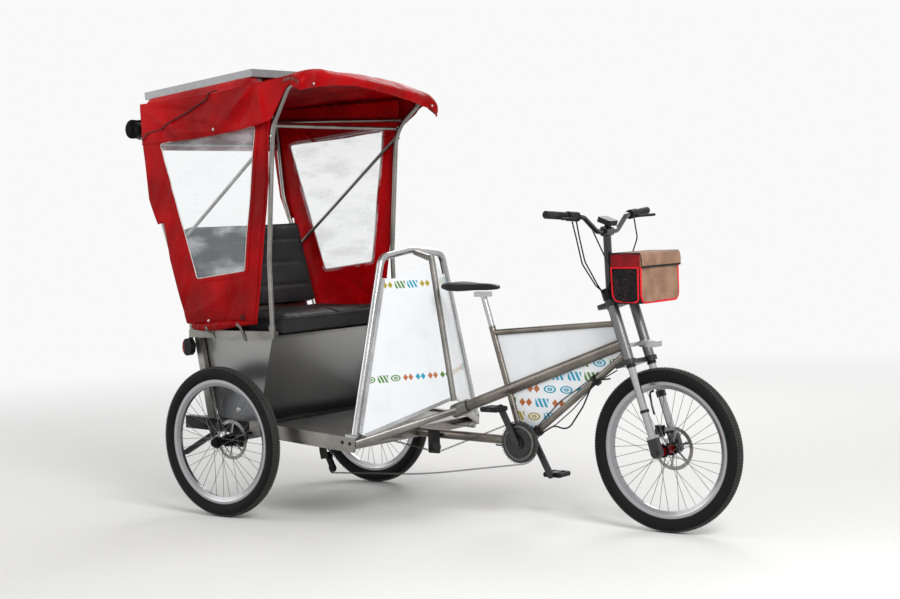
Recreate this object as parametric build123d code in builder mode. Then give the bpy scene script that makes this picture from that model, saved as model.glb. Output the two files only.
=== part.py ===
# Cycle rickshaw: a two-seat passenger body on two rear wheels, carried in front by half a bicycle.
# Millimetres. X points forward, Y to the rider's left, Z up; the ground is Z = 0.
from build123d import *
import math
import os

os.makedirs("parts", exist_ok=True)

# Wheels
wheel_radius = 340
wheelbase = 1980
half_track = 545
tyre_width = 62
rim_radius = 282
rim_depth = 30
rim_width = 34
spoke_radius = 1.1
spokes_per_side = 18
disc_radius = 91
disc_thickness = 2
fit_gap = 0.3
running_gap = 0.05

# Rear curtain, rolled up behind the canopy
curtain_x = -615
curtain_z = 1775
curtain_radius = 48

# The origin is under the middle of the whole length
front_reach = wheelbase + wheel_radius
rear_reach = curtain_radius - curtain_x
axle_x = (rear_reach - front_reach) / 2

# Chassis rails
rail_y = 400
rail_width = 40
rail_height = 58
rail_wall = 3
rail_rear_x = -345
rail_rear_top = 430
rail_length = 500
rail_slope = 2

# Foot deck
deck_slope = 4.6
deck_rear_x = 100
deck_front_x = 712
deck_half_width = 464
deck_front_top = 379
deck_beam_width = 32
deck_beam_height = 47
deck_front_beam = 54
deck_thickness = 3
deck_drop = 12
deck_sheet_rear_x = 160

# Front of the passenger body
hoop_x = 698
hoop_foot_y = 448
hoop_corner_y = 222
hoop_corner_z = 1150
hoop_top_z = 1176
hoop_radius = 16
post_bottom_x = 905
post_top_x = 806
post_top_z = hoop_top_z - 26
post_radius = 14
panel_thickness = 2
panel_shoulder_z = 1065
tongue_radius = 15
sleeve_wall = 6

# Seat
seat_box_y = 398
seat_box_top = 800
seat_box_front_top_x = 198
seat_box_front_bottom_x = 96
seat_box_rear_top_x = -274
seat_box_rear_bottom_x = -150
sheet_metal = 2
seat_rail_y = 444
seat_rail_width = 30
seat_rail_height = 34
seat_rail_rear_x = -262
seat_rail_front_x = 262
seat_rail_bottom = 800
seat_board = 12
cushion_front_x = 276
cushion_rear_x = -214
cushion_half_width = 405
cushion_thickness = 95
back_half_width = 400
back_thickness = 72
back_bottom_x = -200
back_bottom_z = 915
back_top_x = -305
back_top_z = 1322

# Canopy
canopy_half_width = 455
cloth = 2
bow_radius = 11
roof_cloth = 3
roof_front_x = 456
roof_lean = 56
panel_length = 690
panel_width = 720
panel_depth = 35
panel_rear_x = -590
panel_rear_z = 1949
panel_slope = 5.3

# Bicycle half
main_tube_radius = 25
down_tube_radius = 15
seat_tube_radius = 15
top_tube_radius = 13.5
lower_tube_radius = 20
crank_x = wheelbase - 697
crank_z = 338
shell_radius = 21
shell_half_width = 34
spindle_radius = 12
crank_length = 172
crank_turn = 28
pedal_y = 112
chain_y = -48
chain_wheel_radius = 88
head_radius = 20
head_bottom = 402
head_top = 619
steerer_radius = 14.2

# Steering, measured along the steering axis above the front axle
head_angle = 72.5
fork_offset = 56
leg_half_space = 84
leg_radius = 21
stanchion_radius = 16
seal_height = 380
leg_top = 648
crown_height = 20
cup_height = 8
stem_top_x = wheelbase - 258
stem_top_z = 1240
grip_x = wheelbase - 297
grip_z = 1318
bar_half_width = 400
bar_radius = 11
grip_radius = 16
bag_half_width = 156
bag_rear_x = wheelbase - 155
bag_front_x = wheelbase - 12
bag_bottom = 948
bag_top = 1150


def at(x, y, z):
    """A point given from the ground under the rear axle."""
    return Vector(axle_x + x, y, z)


def side(y):
    """A side-view plane: across the sketch is forward, up the sketch is up."""
    return Plane(origin=(axle_x, y, 0), x_dir=(1, 0, 0), z_dir=(0, -1, 0))


def run_plane(start, end):
    """The plane at the start of a straight run, square to it."""
    return Plane(origin=start, z_dir=(end - start).normalized())


def save(piece, name):
    piece.label = name
    export_step(piece, f"parts/{name}.step")


def rods(runs, radius):
    """Straight round rods from a list of start and end points."""
    with BuildPart() as made:
        for start, end in runs:
            with BuildSketch(run_plane(start, end)):
                Circle(radius)
            extrude(amount=(end - start).length)
    return made.part


def bent_rod(points, bends, radius):
    """One round tube through the points, its corners rounded by the bend radii."""
    with BuildPart() as made:
        run_start = points[0]
        for number, bend in enumerate(bends, 1):
            corner = points[number]
            before = (corner - points[number - 1]).normalized()
            after = (points[number + 1] - corner).normalized()
            turn = math.acos(before.dot(after))
            reach = bend * math.tan(turn / 2)
            bend_start = corner - before * reach
            turn_axis = before.cross(after).normalized()
            centre = bend_start + turn_axis.cross(before) * bend
            with BuildSketch(Plane(origin=run_start, z_dir=before)):
                Circle(radius)
            extrude(amount=(bend_start - run_start).length)
            with BuildSketch(Plane(origin=bend_start, z_dir=before)):
                Circle(radius)
            revolve(axis=Axis(centre, turn_axis), revolution_arc=math.degrees(turn))
            run_start = corner + after * reach
        with BuildSketch(run_plane(run_start, points[-1])):
            Circle(radius)
        extrude(amount=(points[-1] - run_start).length)
    return made.part


# The steering axis: a plane of points ahead of it and heights up it, from beside the front axle
steer_tilt = math.radians(90 - head_angle)
steer_up = Vector(-math.sin(steer_tilt), 0, math.cos(steer_tilt))
steer_fore = Vector(math.cos(steer_tilt), 0, math.sin(steer_tilt))
front_axle = at(wheelbase, 0, wheel_radius)
steer_foot = front_axle - steer_fore * fork_offset


def on_steer(fore, y, height):
    return steer_foot + steer_fore * fore + steer_up * height + Vector(0, y, 0)


def steer_plane(height):
    """Square to the steering axis: across is forward, up the sketch is left."""
    return Plane(origin=on_steer(0, 0, height), x_dir=steer_fore, z_dir=steer_up)


# Wheel parts are made about the origin with their axle along Y, the outer side at +Y.
axle_line = Axis((0, 0, 0), (0, 1, 0))
wheel_section = Plane(origin=(0, 0, 0), x_dir=(0, 1, 0), z_dir=(1, 0, 0))


def make_tyre():
    bead = 14
    shoulder = wheel_radius - 8
    belly = (rim_radius + wheel_radius) / 2 - 2
    with BuildPart() as tyre:
        with BuildSketch(wheel_section):
            with BuildLine():
                base = rim_radius + fit_gap
                ThreePointArc((bead, base), (tyre_width / 2, belly), (20, shoulder))
                ThreePointArc((20, shoulder), (0, wheel_radius), (-20, shoulder))
                ThreePointArc((-20, shoulder), (-tyre_width / 2, belly), (-bead, base))
                Line((-bead, base), (bead, base))
            make_face()
        revolve(axis=axle_line)
    return tyre.part


def make_laced_wheel(hub_outline, flange_in, flange_out, bore):
    """Rim, spokes and hub in one. hub_outline lists (distance along the axle, radius)."""
    flange_radius = 27
    lean = 62
    rim_inner = rim_radius - rim_depth
    crossing_gap = 5
    with BuildPart() as wheel:
        with BuildSketch(wheel_section):
            half = rim_width / 2
            with BuildLine():
                Polyline((half, rim_radius), (half, rim_radius - 12), (8, rim_inner))
                Line((8, rim_inner), (-8, rim_inner))
                Polyline((-8, rim_inner), (-half, rim_radius - 12), (-half, rim_radius))
                Line((-half, rim_radius), (half, rim_radius))
            make_face()
        revolve(axis=axle_line)
        with BuildSketch(wheel_section):
            with BuildLine():
                first, last = hub_outline[0], hub_outline[-1]
                Polyline((first[0], 0), *hub_outline, (last[0], 0), close=True)
            make_face()
        revolve(axis=axle_line)
        for flange, sign in ((flange_in, -1), (flange_out, 1)):
            for trailing in (0, 1):
                starts = []
                for number in range(spokes_per_side // 2):
                    turn = 360 / (spokes_per_side // 2) * number
                    turn += (sign + 1) * 5 + trailing * 20
                    hub_turn = turn + (lean if trailing else -lean)
                    hub_y = flange - sign * crossing_gap * trailing
                    rim_y = sign * crossing_gap * (1 - trailing)
                    start = Vector(0, hub_y, flange_radius - 3).rotate(axle_line, hub_turn)
                    end = Vector(0, rim_y, rim_inner + 3).rotate(axle_line, turn)
                    starts.append((start, end))
                length = (starts[0][1] - starts[0][0]).length
                with BuildSketch(*[run_plane(start, end) for start, end in starts]):
                    Circle(spoke_radius)
                extrude(amount=length)
        if bore:
            with BuildSketch(Plane(origin=(0, first[0], 0), z_dir=(0, 1, 0))):
                Circle(bore)
            extrude(amount=last[0] - first[0], mode=Mode.SUBTRACT)
    return wheel.part


def make_disc(place, bore):
    """Brake disc: a slotted ring on leaning arms, with its inner face at the given place."""
    arms = 6
    with BuildPart() as disc:
        with BuildSketch(Plane(origin=(0, place, 0), z_dir=(0, 1, 0))):
            Circle(disc_radius)
            Circle(disc_radius - 16, mode=Mode.SUBTRACT)
            Circle(26)
            with PolarLocations(0, arms):
                with Locations(Location((50, 6), 14)):
                    Rectangle(58, 9)
            Circle(bore, mode=Mode.SUBTRACT)
        extrude(amount=disc_thickness)
    return disc.part


# Rear wheels
rear_hub = (
    (-66, 30), (-60, 30), (-58, 19), (-36, 19), (-36, 27), (-28, 27),
    (-26, 19), (26, 19), (28, 27), (34, 27), (36, 22), (50, 20), (55, 14),
)
half_shaft_radius = 12.5
half_shaft_end = 60
rear_wheel = make_laced_wheel(rear_hub, -32, 31, 0)
hub_inner = -rear_hub[0][0]
with BuildPart() as rear_shaft:
    with BuildSketch(Plane(origin=(0, -hub_inner - fit_gap, 0), z_dir=(0, -1, 0))):
        Circle(half_shaft_radius)
    extrude(amount=half_track - half_shaft_end - hub_inner - fit_gap)
tyre = make_tyre()
rear_disc = make_disc(-66 - disc_thickness - fit_gap, half_shaft_radius + fit_gap)
left_place = Location(at(0, half_track, wheel_radius))
right_place = Location(at(0, -half_track, wheel_radius))
rear_pieces = ((rear_wheel, "wheel"), (rear_shaft.part, "shaft"), (tyre, "tyre"), (rear_disc, "disc"))
for piece, name in rear_pieces:
    save(piece.moved(left_place), f"rear_{name}_left")
    save(mirror(piece, about=Plane.XZ).moved(right_place), f"rear_{name}_right")

# Front wheel
front_axle_radius = 10
front_hub_half = 52
front_hub = (
    (-52, 15), (-40, 15), (-38, 27), (-32, 27), (-30, 16), (26, 16),
    (28, 27), (34, 27), (36, 20), (42, 22), (46, 26), (52, 26),
)
front_place = Location(at(wheelbase, 0, wheel_radius))
front_wheel = make_laced_wheel(front_hub, -35, 31, front_axle_radius + running_gap)
front_disc = make_disc(front_hub_half + fit_gap, front_axle_radius + 6)
save(front_wheel.moved(front_place), "front_wheel")
save(tyre.moved(front_place), "front_tyre")
save(front_disc.moved(front_place), "front_disc")

# Chassis rails: two open-ended box tubes with cross tubes between them
rail_angle = math.radians(rail_slope)
rail_along = Vector(math.cos(rail_angle), 0, -math.sin(rail_angle))


def rail_top(x):
    return rail_rear_top - (x - rail_rear_x) * math.tan(rail_angle)


cross_tubes = ((-325, 30), (102, 36))
with BuildPart() as chassis_rails:
    for hand in (-1, 1):
        start = at(rail_rear_x, hand * rail_y, rail_rear_top - rail_height / 2)
        with BuildSketch(Plane(origin=start, x_dir=(0, 1, 0), z_dir=rail_along)):
            Rectangle(rail_width, rail_height)
            Rectangle(rail_width - 2 * rail_wall, rail_height - 2 * rail_wall, mode=Mode.SUBTRACT)
        extrude(amount=rail_length)
    for place, size in cross_tubes:
        reach = rail_y - rail_width / 2
        with BuildSketch(side(-reach)):
            with Locations((place, rail_top(place) - rail_height / 2)):
                Rectangle(size, size)
                Rectangle(size - 2 * rail_wall, size - 2 * rail_wall, mode=Mode.SUBTRACT)
        extrude(amount=-2 * reach)
save(chassis_rails.part, "chassis_rails")

# Foot deck: sheet between two side beams, a front beam and a lower tube each side
deck_angle = math.radians(deck_slope)
deck_along = Vector(-math.cos(deck_angle), 0, math.sin(deck_angle))
deck_length = (deck_front_x - deck_rear_x) / math.cos(deck_angle)


def deck_plane(y):
    """At the deck's front top edge: across is rearward along the deck, up is square to it."""
    return Plane(origin=at(deck_front_x, y, deck_front_top), x_dir=deck_along, z_dir=(0, 1, 0))


beam_y = deck_half_width - deck_beam_width / 2
sheet_length = (deck_front_x - deck_sheet_rear_x) / math.cos(deck_angle)
with BuildPart() as foot_deck:
    for hand in (-1, 1):
        with BuildSketch(deck_plane(hand * beam_y)):
            with Locations((deck_length / 2, -deck_beam_height / 2)):
                Rectangle(deck_length, deck_beam_height)
        extrude(amount=deck_beam_width / 2, both=True)
        with BuildSketch(deck_plane(hand * beam_y)):
            with Locations((deck_length / 2, -deck_beam_height - 8)):
                Rectangle(deck_length - 30, 20)
        extrude(amount=deck_beam_width / 2 - 6, both=True)
    inner_half = deck_half_width - deck_beam_width
    with BuildSketch(deck_plane(0)):
        with Locations((deck_front_beam / 2, -deck_beam_height / 2)):
            Rectangle(deck_front_beam, deck_beam_height)
        with Locations((sheet_length / 2, -deck_drop)):
            Rectangle(sheet_length, deck_thickness)
    extrude(amount=inner_half, both=True)
    for hand in (-1, 1):
        spacer = inner_half - rail_y - rail_width / 2
        with BuildSketch(side(hand * (inner_half - spacer / 2))):
            with Locations((128, rail_top(128) - rail_height / 2)):
                Rectangle(44, 34)
        extrude(amount=spacer / 2, both=True)
save(foot_deck.part, "foot_deck")

# Tongue: tubes converge from the deck corners to the sleeve that takes the bicycle's main tube
main_tube_low = at(915, 0, 456)
main_tube_high = on_steer(-4, 0, 470)
main_along = (main_tube_high - main_tube_low).normalized()
sleeve_length = 86
sleeve_start = main_tube_low - main_along * 8
corner_z = deck_front_top - deck_beam_height / 2
with BuildPart() as tongue:
    with BuildSketch(run_plane(sleeve_start, main_tube_high)):
        Circle(main_tube_radius + fit_gap + sleeve_wall)
    extrude(amount=sleeve_length)
    for hand in (-1, 1):
        start = at(deck_front_x + fit_gap, hand * (deck_half_width - 20), corner_z)
        end = sleeve_start + main_along * 34
        end = end + Vector(0, hand * 8, 0)
        with BuildSketch(Plane(origin=start, x_dir=(0, 1, 0), z_dir=(1, 0, 0))):
            Circle(tongue_radius + 2)
        with BuildSketch(Plane(origin=end, x_dir=(0, 1, 0), z_dir=(1, -0.2 * hand, 0.1))):
            Circle(tongue_radius)
        loft()
        gusset = [
            (axle_x + deck_front_x + fit_gap, hand * 250),
            (axle_x + deck_front_x + fit_gap, hand * 432),
            (axle_x + deck_front_x + 92, hand * 250),
        ]
        with BuildSketch(Plane.XY.offset(corner_z - 2)):
            Polygon(*gusset, align=None)
        extrude(amount=4)
    with BuildSketch(run_plane(sleeve_start, main_tube_high)):
        Circle(main_tube_radius + fit_gap)
    extrude(amount=sleeve_length, mode=Mode.SUBTRACT)
save(tongue.part, "front_tongue")

# Grab hoop with its two feet, and the centre post
hoop_foot_z = deck_front_top + 11
hoop_points = [
    at(hoop_x, -hoop_foot_y, hoop_foot_z), at(hoop_x, -hoop_corner_y, hoop_corner_z),
    at(hoop_x, 0, hoop_top_z),
    at(hoop_x, hoop_corner_y, hoop_corner_z), at(hoop_x, hoop_foot_y, hoop_foot_z),
]
foot_length = 54
foot_depth = 12
hoop_tube = bent_rod(hoop_points, [60, 300, 60], hoop_radius)
with BuildPart() as grab_hoop:
    add(hoop_tube)
    for hand in (-1, 1):
        with BuildSketch(deck_plane(hand * (hoop_foot_y - 8))):
            with Locations((foot_length / 2 + 2, foot_depth / 2 + fit_gap)):
                Rectangle(foot_length, foot_depth)
        extrude(amount=23, both=True)
save(grab_hoop.part, "grab_hoop")

post_low = at(post_bottom_x, 0, 500)
post_high = at(post_top_x, 0, post_top_z)
strap_z = hoop_top_z - 24
with BuildPart() as centre_post:
    with BuildSketch(run_plane(post_low, post_high)):
        Circle(post_radius)
    extrude(amount=(post_high - post_low).length)
    with BuildSketch(side(0)):
        with BuildLine():
            strap_back = hoop_x + hoop_radius + fit_gap
            Polyline((post_top_x, strap_z - 30), (post_top_x, strap_z - 4), (strap_back, hoop_top_z - 2))
            Polyline((strap_back, hoop_top_z - 2), (strap_back, hoop_top_z - 22), (post_top_x, strap_z - 30))
        make_face()
    extrude(amount=12, both=True)
save(centre_post.part, "centre_post")

# Front panels: two flat sheets that meet at the centre post
leg_lean = (hoop_foot_y - hoop_corner_y) / (hoop_corner_z - hoop_foot_z)


def leg_y(z):
    return hoop_foot_y - (z - hoop_foot_z) * leg_lean


outer_low = at(hoop_x, leg_y(deck_front_top), deck_front_top)
outer_high = at(hoop_x, leg_y(hoop_corner_z), hoop_corner_z)
inner_low = at(post_bottom_x - 2, 20, 500)
front_normal = (outer_high - outer_low).cross(inner_low - outer_low).normalized()
front_plane = Plane(origin=outer_low, x_dir=(outer_high - outer_low).normalized(), z_dir=front_normal)


def on_front(x, y, z):
    """A point of the left front panel's plane, from a point close to it."""
    local = front_plane.to_local_coords(at(x, y, z))
    return (local.X, local.Y)


strip_width = 16
strip_reach = 3
leg_gap = (hoop_radius + fit_gap + strip_width / 2) * math.copysign(1, on_front(post_bottom_x, 20, 520)[1])
panel_low_z = hoop_foot_z + 12
panel_low = on_front(hoop_x, leg_y(panel_low_z), panel_low_z)[0]
panel_foot_y = hoop_foot_y - 44
panel_shoulder = on_front(hoop_x, leg_y(panel_shoulder_z), panel_shoulder_z)[0]
panel_outline = (
    (panel_low, leg_gap),
    (panel_shoulder, leg_gap),
    on_front(post_top_x - 34, 120, panel_shoulder_z + 14),
    on_front(post_top_x - 12, 50, panel_shoulder_z + 50),
    on_front(post_top_x, 20, panel_shoulder_z + 62),
    on_front(post_bottom_x - 2, 20, 510),
    on_front(hoop_x + 20, panel_foot_y, deck_front_top + 6),
)
with BuildPart() as panel_left:
    with BuildSketch(front_plane):
        with BuildLine():
            Line(panel_outline[0], panel_outline[1])
            Spline(panel_outline[1], panel_outline[2], panel_outline[3], panel_outline[4])
            Line(panel_outline[4], panel_outline[5])
            Polyline(panel_outline[5], panel_outline[6], panel_outline[0])
        make_face()
    extrude(amount=panel_thickness / 2, both=True)
with BuildPart() as front_panels:
    add(panel_left.part)
    mirror(about=Plane.XZ)
save(front_panels.part, "front_panels")

with BuildPart() as strip_left:
    for low, high in ((panel_outline[0], panel_outline[1]), (panel_outline[5], panel_outline[6])):
        low_point = Vector(*low)
        along = (Vector(*high) - low_point)
        angle = math.degrees(math.atan2(along.Y, along.X))
        middle = low_point + along * 0.5
        with BuildSketch(front_plane.offset(panel_thickness / 2)):
            with Locations(Location((middle.X, middle.Y), angle)):
                Rectangle(along.length - 6, strip_width)
        extrude(amount=strip_reach)
with BuildPart() as panel_strips:
    add(strip_left.part)
    mirror(about=Plane.XZ)
save(panel_strips.part, "panel_strips")

# Seat box: four sheet walls, open above and closed by the seat board
box_outline = (
    (seat_box_rear_bottom_x, rail_top(seat_box_rear_bottom_x) + fit_gap),
    (seat_box_front_bottom_x, rail_top(seat_box_front_bottom_x) + fit_gap),
    (seat_box_front_top_x, seat_box_top), (seat_box_rear_top_x, seat_box_top),
)
with BuildPart() as seat_box:
    with BuildSketch(side(0)):
        Polygon(*box_outline, align=None)
    extrude(amount=seat_box_y, both=True)
    with BuildSketch(side(0)) as inside:
        with BuildLine():
            Polyline(*box_outline, close=True)
        make_face()
        offset(amount=-sheet_metal, kind=Kind.INTERSECTION, mode=Mode.REPLACE)
    extrude(amount=seat_box_y - sheet_metal, both=True, mode=Mode.SUBTRACT)
    with BuildSketch(Plane.XY.offset(seat_box_top - 3)):
        with Locations((axle_x - 40, 0)):
            Rectangle(380, 2 * seat_box_y - 60)
    extrude(amount=4, mode=Mode.SUBTRACT)
save(seat_box.part, "seat_box")

# Seat frame: top rails, cross rails, the board and the slanted rear posts
board_top = seat_rail_bottom + seat_board
post_size = 36
post_low_x = -190
post_high_x = -256
# The back leans: its plane looks up the pad, across is left, up the sketch is rearward
back_low = at(back_bottom_x, 0, back_bottom_z)
back_high = at(back_top_x, 0, back_top_z)
back_up = (back_high - back_low).normalized()
back_plane = Plane(origin=back_low, x_dir=(0, 1, 0), z_dir=back_up)
back_height = (back_high - back_low).length
board_drop = 96
with BuildPart() as seat_frame:
    rail_mid = (seat_rail_rear_x + seat_rail_front_x) / 2
    for hand in (-1, 1):
        with BuildSketch(side(hand * seat_rail_y)):
            with Locations((rail_mid, seat_rail_bottom + seat_rail_height / 2)):
                Rectangle(seat_rail_front_x - seat_rail_rear_x, seat_rail_height)
        extrude(amount=seat_rail_width / 2, both=True)
        post_foot = rail_top(post_low_x) + fit_gap
        with BuildSketch(side(hand * (rail_y + 18))):
            with BuildLine():
                Polyline(
                    (post_low_x, post_foot + 4), (post_low_x + post_size + 4, post_foot),
                    (post_high_x + post_size, seat_rail_bottom), (post_high_x, seat_rail_bottom),
                    close=True,
                )
            make_face()
        extrude(amount=13, both=True)
    with BuildSketch(Plane.XY.offset(seat_rail_bottom + fit_gap)):
        with Locations((axle_x + rail_mid, 0)):
            Rectangle(seat_rail_front_x - seat_rail_rear_x, 2 * seat_rail_y)
    extrude(amount=seat_board)
    with BuildSketch(back_plane.offset(-board_drop)):
        with Locations((0, back_thickness + fit_gap + seat_board / 2)):
            Rectangle(2 * back_half_width - 20, seat_board)
    extrude(amount=back_height + board_drop - 10)
save(seat_frame.part, "seat_frame")

# Cushion and back: plain rounded pads
cushion_bottom = board_top + 2 * fit_gap
with BuildPart() as seat_cushion:
    with BuildSketch(Plane.XY.offset(cushion_bottom)):
        with Locations((axle_x + (cushion_front_x + cushion_rear_x) / 2, 0)):
            RectangleRounded(cushion_front_x - cushion_rear_x, 2 * cushion_half_width, 40)
    extrude(amount=cushion_thickness)
    fillet(seat_cushion.faces().sort_by(Axis.Z)[-1].edges(), 26)
save(seat_cushion.part, "seat_cushion")

with BuildPart() as seat_back:
    with BuildSketch(back_plane):
        with Locations((0, back_thickness / 2)):
            RectangleRounded(2 * back_half_width, back_thickness, 24)
    extrude(amount=back_height)
save(seat_back.part, "seat_back")

# Canopy frame: two bows, side rails, cross bars and window struts
foot_z = seat_rail_bottom + seat_rail_height + fit_gap
bow_y = canopy_half_width - bow_radius - fit_gap
roof_rear_x = -520
roof_flare = 36
roof_rear_half = 460
# x, right edge z, left edge z, middle z
roof_sections = (
    (roof_rear_x, 1886, 1886, 1902),
    (0, 1908, 1902, 1955),
    (roof_front_x, 1956, 1956 - roof_lean, 1974),
)


def roof_half(x):
    """Half width of the roof, which flares towards the front."""
    return roof_rear_half + roof_flare * (x - roof_rear_x) / (roof_front_x - roof_rear_x)


def roof_z(x, y):
    """Height of the roof's top face."""
    before, after = (0, 1) if x < roof_sections[1][0] else (1, 2)
    low, high = roof_sections[before], roof_sections[after]
    share = (x - low[0]) / (high[0] - low[0])
    right, left, middle = [a + (b - a) * share for a, b in zip(low[1:], high[1:])]
    across = y / roof_half(x)
    edge = left if across > 0 else right
    tilt = (left - right) / 2 * across
    return (left + right) / 2 + tilt + (middle - (left + right) / 2) * (1 - across * across)


def bow_centre(x, corner_y, right_z, left_z, bend):
    """Top middle point of a bow, raised so that its bend ends just under the roof."""
    z = roof_z(x, 0) - roof_cloth - bow_radius - fit_gap
    half_turn = ((z - right_z) + (z - left_z)) / corner_y / 2
    return (x, 0, z + bend * (1 / math.cos(half_turn) - 1))


crown_bend = 400
front_corner = (436, 478, 1938)
rear_corner = (-488, bow_y, 1872)
front_bow = ((242, bow_y, foot_z + 4), (238, bow_y, 1150), (288, bow_y, 1740), front_corner)
rear_bow = ((-252, bow_y, foot_z + 8), (-450, bow_y, 1440), rear_corner)
front_left = front_bow[:-1] + ((front_corner[0], front_corner[1], front_corner[2] - roof_lean),)
front_top = bow_centre(front_corner[0], front_corner[1], front_corner[2], front_left[-1][2], crown_bend)
rear_top = bow_centre(rear_corner[0], rear_corner[1], rear_corner[2], rear_corner[2], crown_bend)
front_route = [at(x, -y, z) for x, y, z in front_bow] + [at(*front_top)]
front_route += [at(x, y, z) for x, y, z in reversed(front_left)]
rear_route = [at(x, -y, z) for x, y, z in rear_bow] + [at(*rear_top)]
rear_route += [at(x, y, z) for x, y, z in reversed(rear_bow)]
front_bow_tube = bent_rod(front_route, [400, 200, 60, crown_bend, 60, 200, 400], bow_radius)
rear_bow_tube = bent_rod(rear_route, [300, 60, crown_bend, 60, 300], bow_radius)
strut_radius = 8
straight_bars = []
for hand in (-1, 1):
    straight_bars.append((at(-484, hand * bow_y, 1820), at(322, hand * bow_y, 1786)))
    straight_bars.append((at(280, hand * bow_y, 1700), at(-362, hand * bow_y, 1190)))
straight_bars.append((at(292, -bow_y, 1745), at(292, bow_y, 1745)))
straight_bars.append((at(-474, -bow_y, 1700), at(-474, bow_y, 1700)))
bars = rods(straight_bars, strut_radius)
with BuildPart() as canopy_frame:
    add(front_bow_tube)
    add(rear_bow_tube)
    add(bars)
    for x in (front_bow[0][0], rear_bow[0][0] + 2):
        with BuildSketch(Plane.XY.offset(foot_z)):
            with Locations((axle_x + x - 2, -bow_y), (axle_x + x - 2, bow_y)):
                Circle(bow_radius + 3.5)
        extrude(amount=26)
save(canopy_frame.part, "canopy_frame")

# Roof: one crowned sheet, with side flaps and a front hem
flap_slant = math.atan2(roof_flare, roof_front_x - roof_rear_x)
hem = 62


def flap_plane(hand):
    """Along the roof's side edge: across is forward from the rear edge, up is up."""
    along = Vector(math.cos(flap_slant), hand * math.sin(flap_slant), 0)
    start = at(roof_rear_x, hand * (roof_rear_half - cloth / 2), 0)
    return Plane(origin=start, x_dir=along, z_dir=along.cross(Vector(0, 0, 1)))


with BuildPart() as canopy_roof:
    for x, right_z, left_z, middle_z in roof_sections:
        half = roof_half(x)
        with BuildSketch(Plane(origin=at(x, 0, 0), x_dir=(0, 1, 0), z_dir=(1, 0, 0))):
            with BuildLine():
                ThreePointArc((-half, right_z), (0, middle_z), (half, left_z))
                Line((half, left_z), (half, left_z - roof_cloth))
                ThreePointArc(
                    (half, left_z - roof_cloth), (0, middle_z - roof_cloth), (-half, right_z - roof_cloth)
                )
                Line((-half, right_z - roof_cloth), (-half, right_z))
            make_face()
    loft(ruled=True)
    x, right_z, left_z, middle_z = roof_sections[-1]
    half = roof_half(x)
    with BuildSketch(Plane(origin=at(x, 0, 0), x_dir=(0, 1, 0), z_dir=(1, 0, 0))):
        with BuildLine():
            ThreePointArc((-half, right_z), (0, middle_z), (half, left_z))
            Line((half, left_z), (half, left_z - hem))
            ThreePointArc((half, left_z - hem), (0, middle_z - hem), (-half, right_z - hem))
            Line((-half, right_z - hem), (-half, right_z))
        make_face()
    extrude(amount=-roof_cloth)
    for hand in (-1, 1):
        edge = [(section[0] - roof_rear_x, section[1 if hand < 0 else 2] - 1) for section in roof_sections]
        with BuildSketch(flap_plane(hand)):
            with BuildLine():
                Polyline(*edge)
                Polyline(edge[2], (970, edge[2][1] - hem), (832, 1768))
                ThreePointArc((832, 1768), (420, 1716), (0, 1700))
                Line((0, 1700), edge[0])
            make_face()
        extrude(amount=cloth / 2, both=True)
save(canopy_roof.part, "canopy_roof")

# Canopy side walls with their cut windows
side_outline = (
    (-279, 863), (-440, 1325), (-486, 1440), (-518, 1709), (-508, 1880),
    (300, 1884), (270, 1712), (262, 1506), (158, 868),
)
window_outline = ((-407, 1700), (200, 1752), (102, 1103), (-201, 1067))
window_corner = 18
with BuildPart() as canopy_sides:
    for hand in (-1, 1):
        with BuildSketch(side(hand * (canopy_half_width + cloth / 2))):
            with BuildLine():
                Polyline(*side_outline, close=True)
            make_face()
            with BuildLine():
                FilletPolyline(*window_outline, radius=window_corner, close=True)
            make_face(mode=Mode.SUBTRACT)
        extrude(amount=cloth / 2, both=True)
save(canopy_sides.part, "canopy_sides")

window_lap = 12
window_thickness = 1
with BuildPart() as windows:
    for hand in (-1, 1):
        place = hand * (canopy_half_width - fit_gap - window_thickness / 2)
        with BuildSketch(side(place)):
            with BuildLine():
                FilletPolyline(*window_outline, radius=window_corner, close=True)
            make_face()
            offset(amount=window_lap)
        extrude(amount=window_thickness / 2, both=True)
save(windows.part, "windows")

# Rear flap and the rolled curtain with its two straps
with BuildPart() as rear_flap:
    with BuildSketch(Plane(origin=at(-512, 0, 0), x_dir=(0, 1, 0), z_dir=(1, 0, 0))):
        with Locations((0, 1775)):
            Rectangle(2 * canopy_half_width - 2 * fit_gap, 200)
    extrude(amount=-cloth)
save(rear_flap.part, "rear_flap")

curtain_half = 430
strap_x = -514 - fit_gap
with BuildPart() as rolled_curtain:
    with BuildSketch(side(0)):
        with Locations((curtain_x, curtain_z)):
            Circle(curtain_radius)
    extrude(amount=curtain_half, both=True)
    for hand in (-1, 1):
        with BuildSketch(side(hand * (curtain_half - 70))):
            with BuildLine():
                Polyline((curtain_x, curtain_z + 30), (strap_x, 1872), (strap_x, 1866), (curtain_x, curtain_z))
                Line((curtain_x, curtain_z), (curtain_x, curtain_z + 30))
            make_face()
        extrude(amount=14, both=True)
save(rolled_curtain.part, "rolled_curtain")

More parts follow.
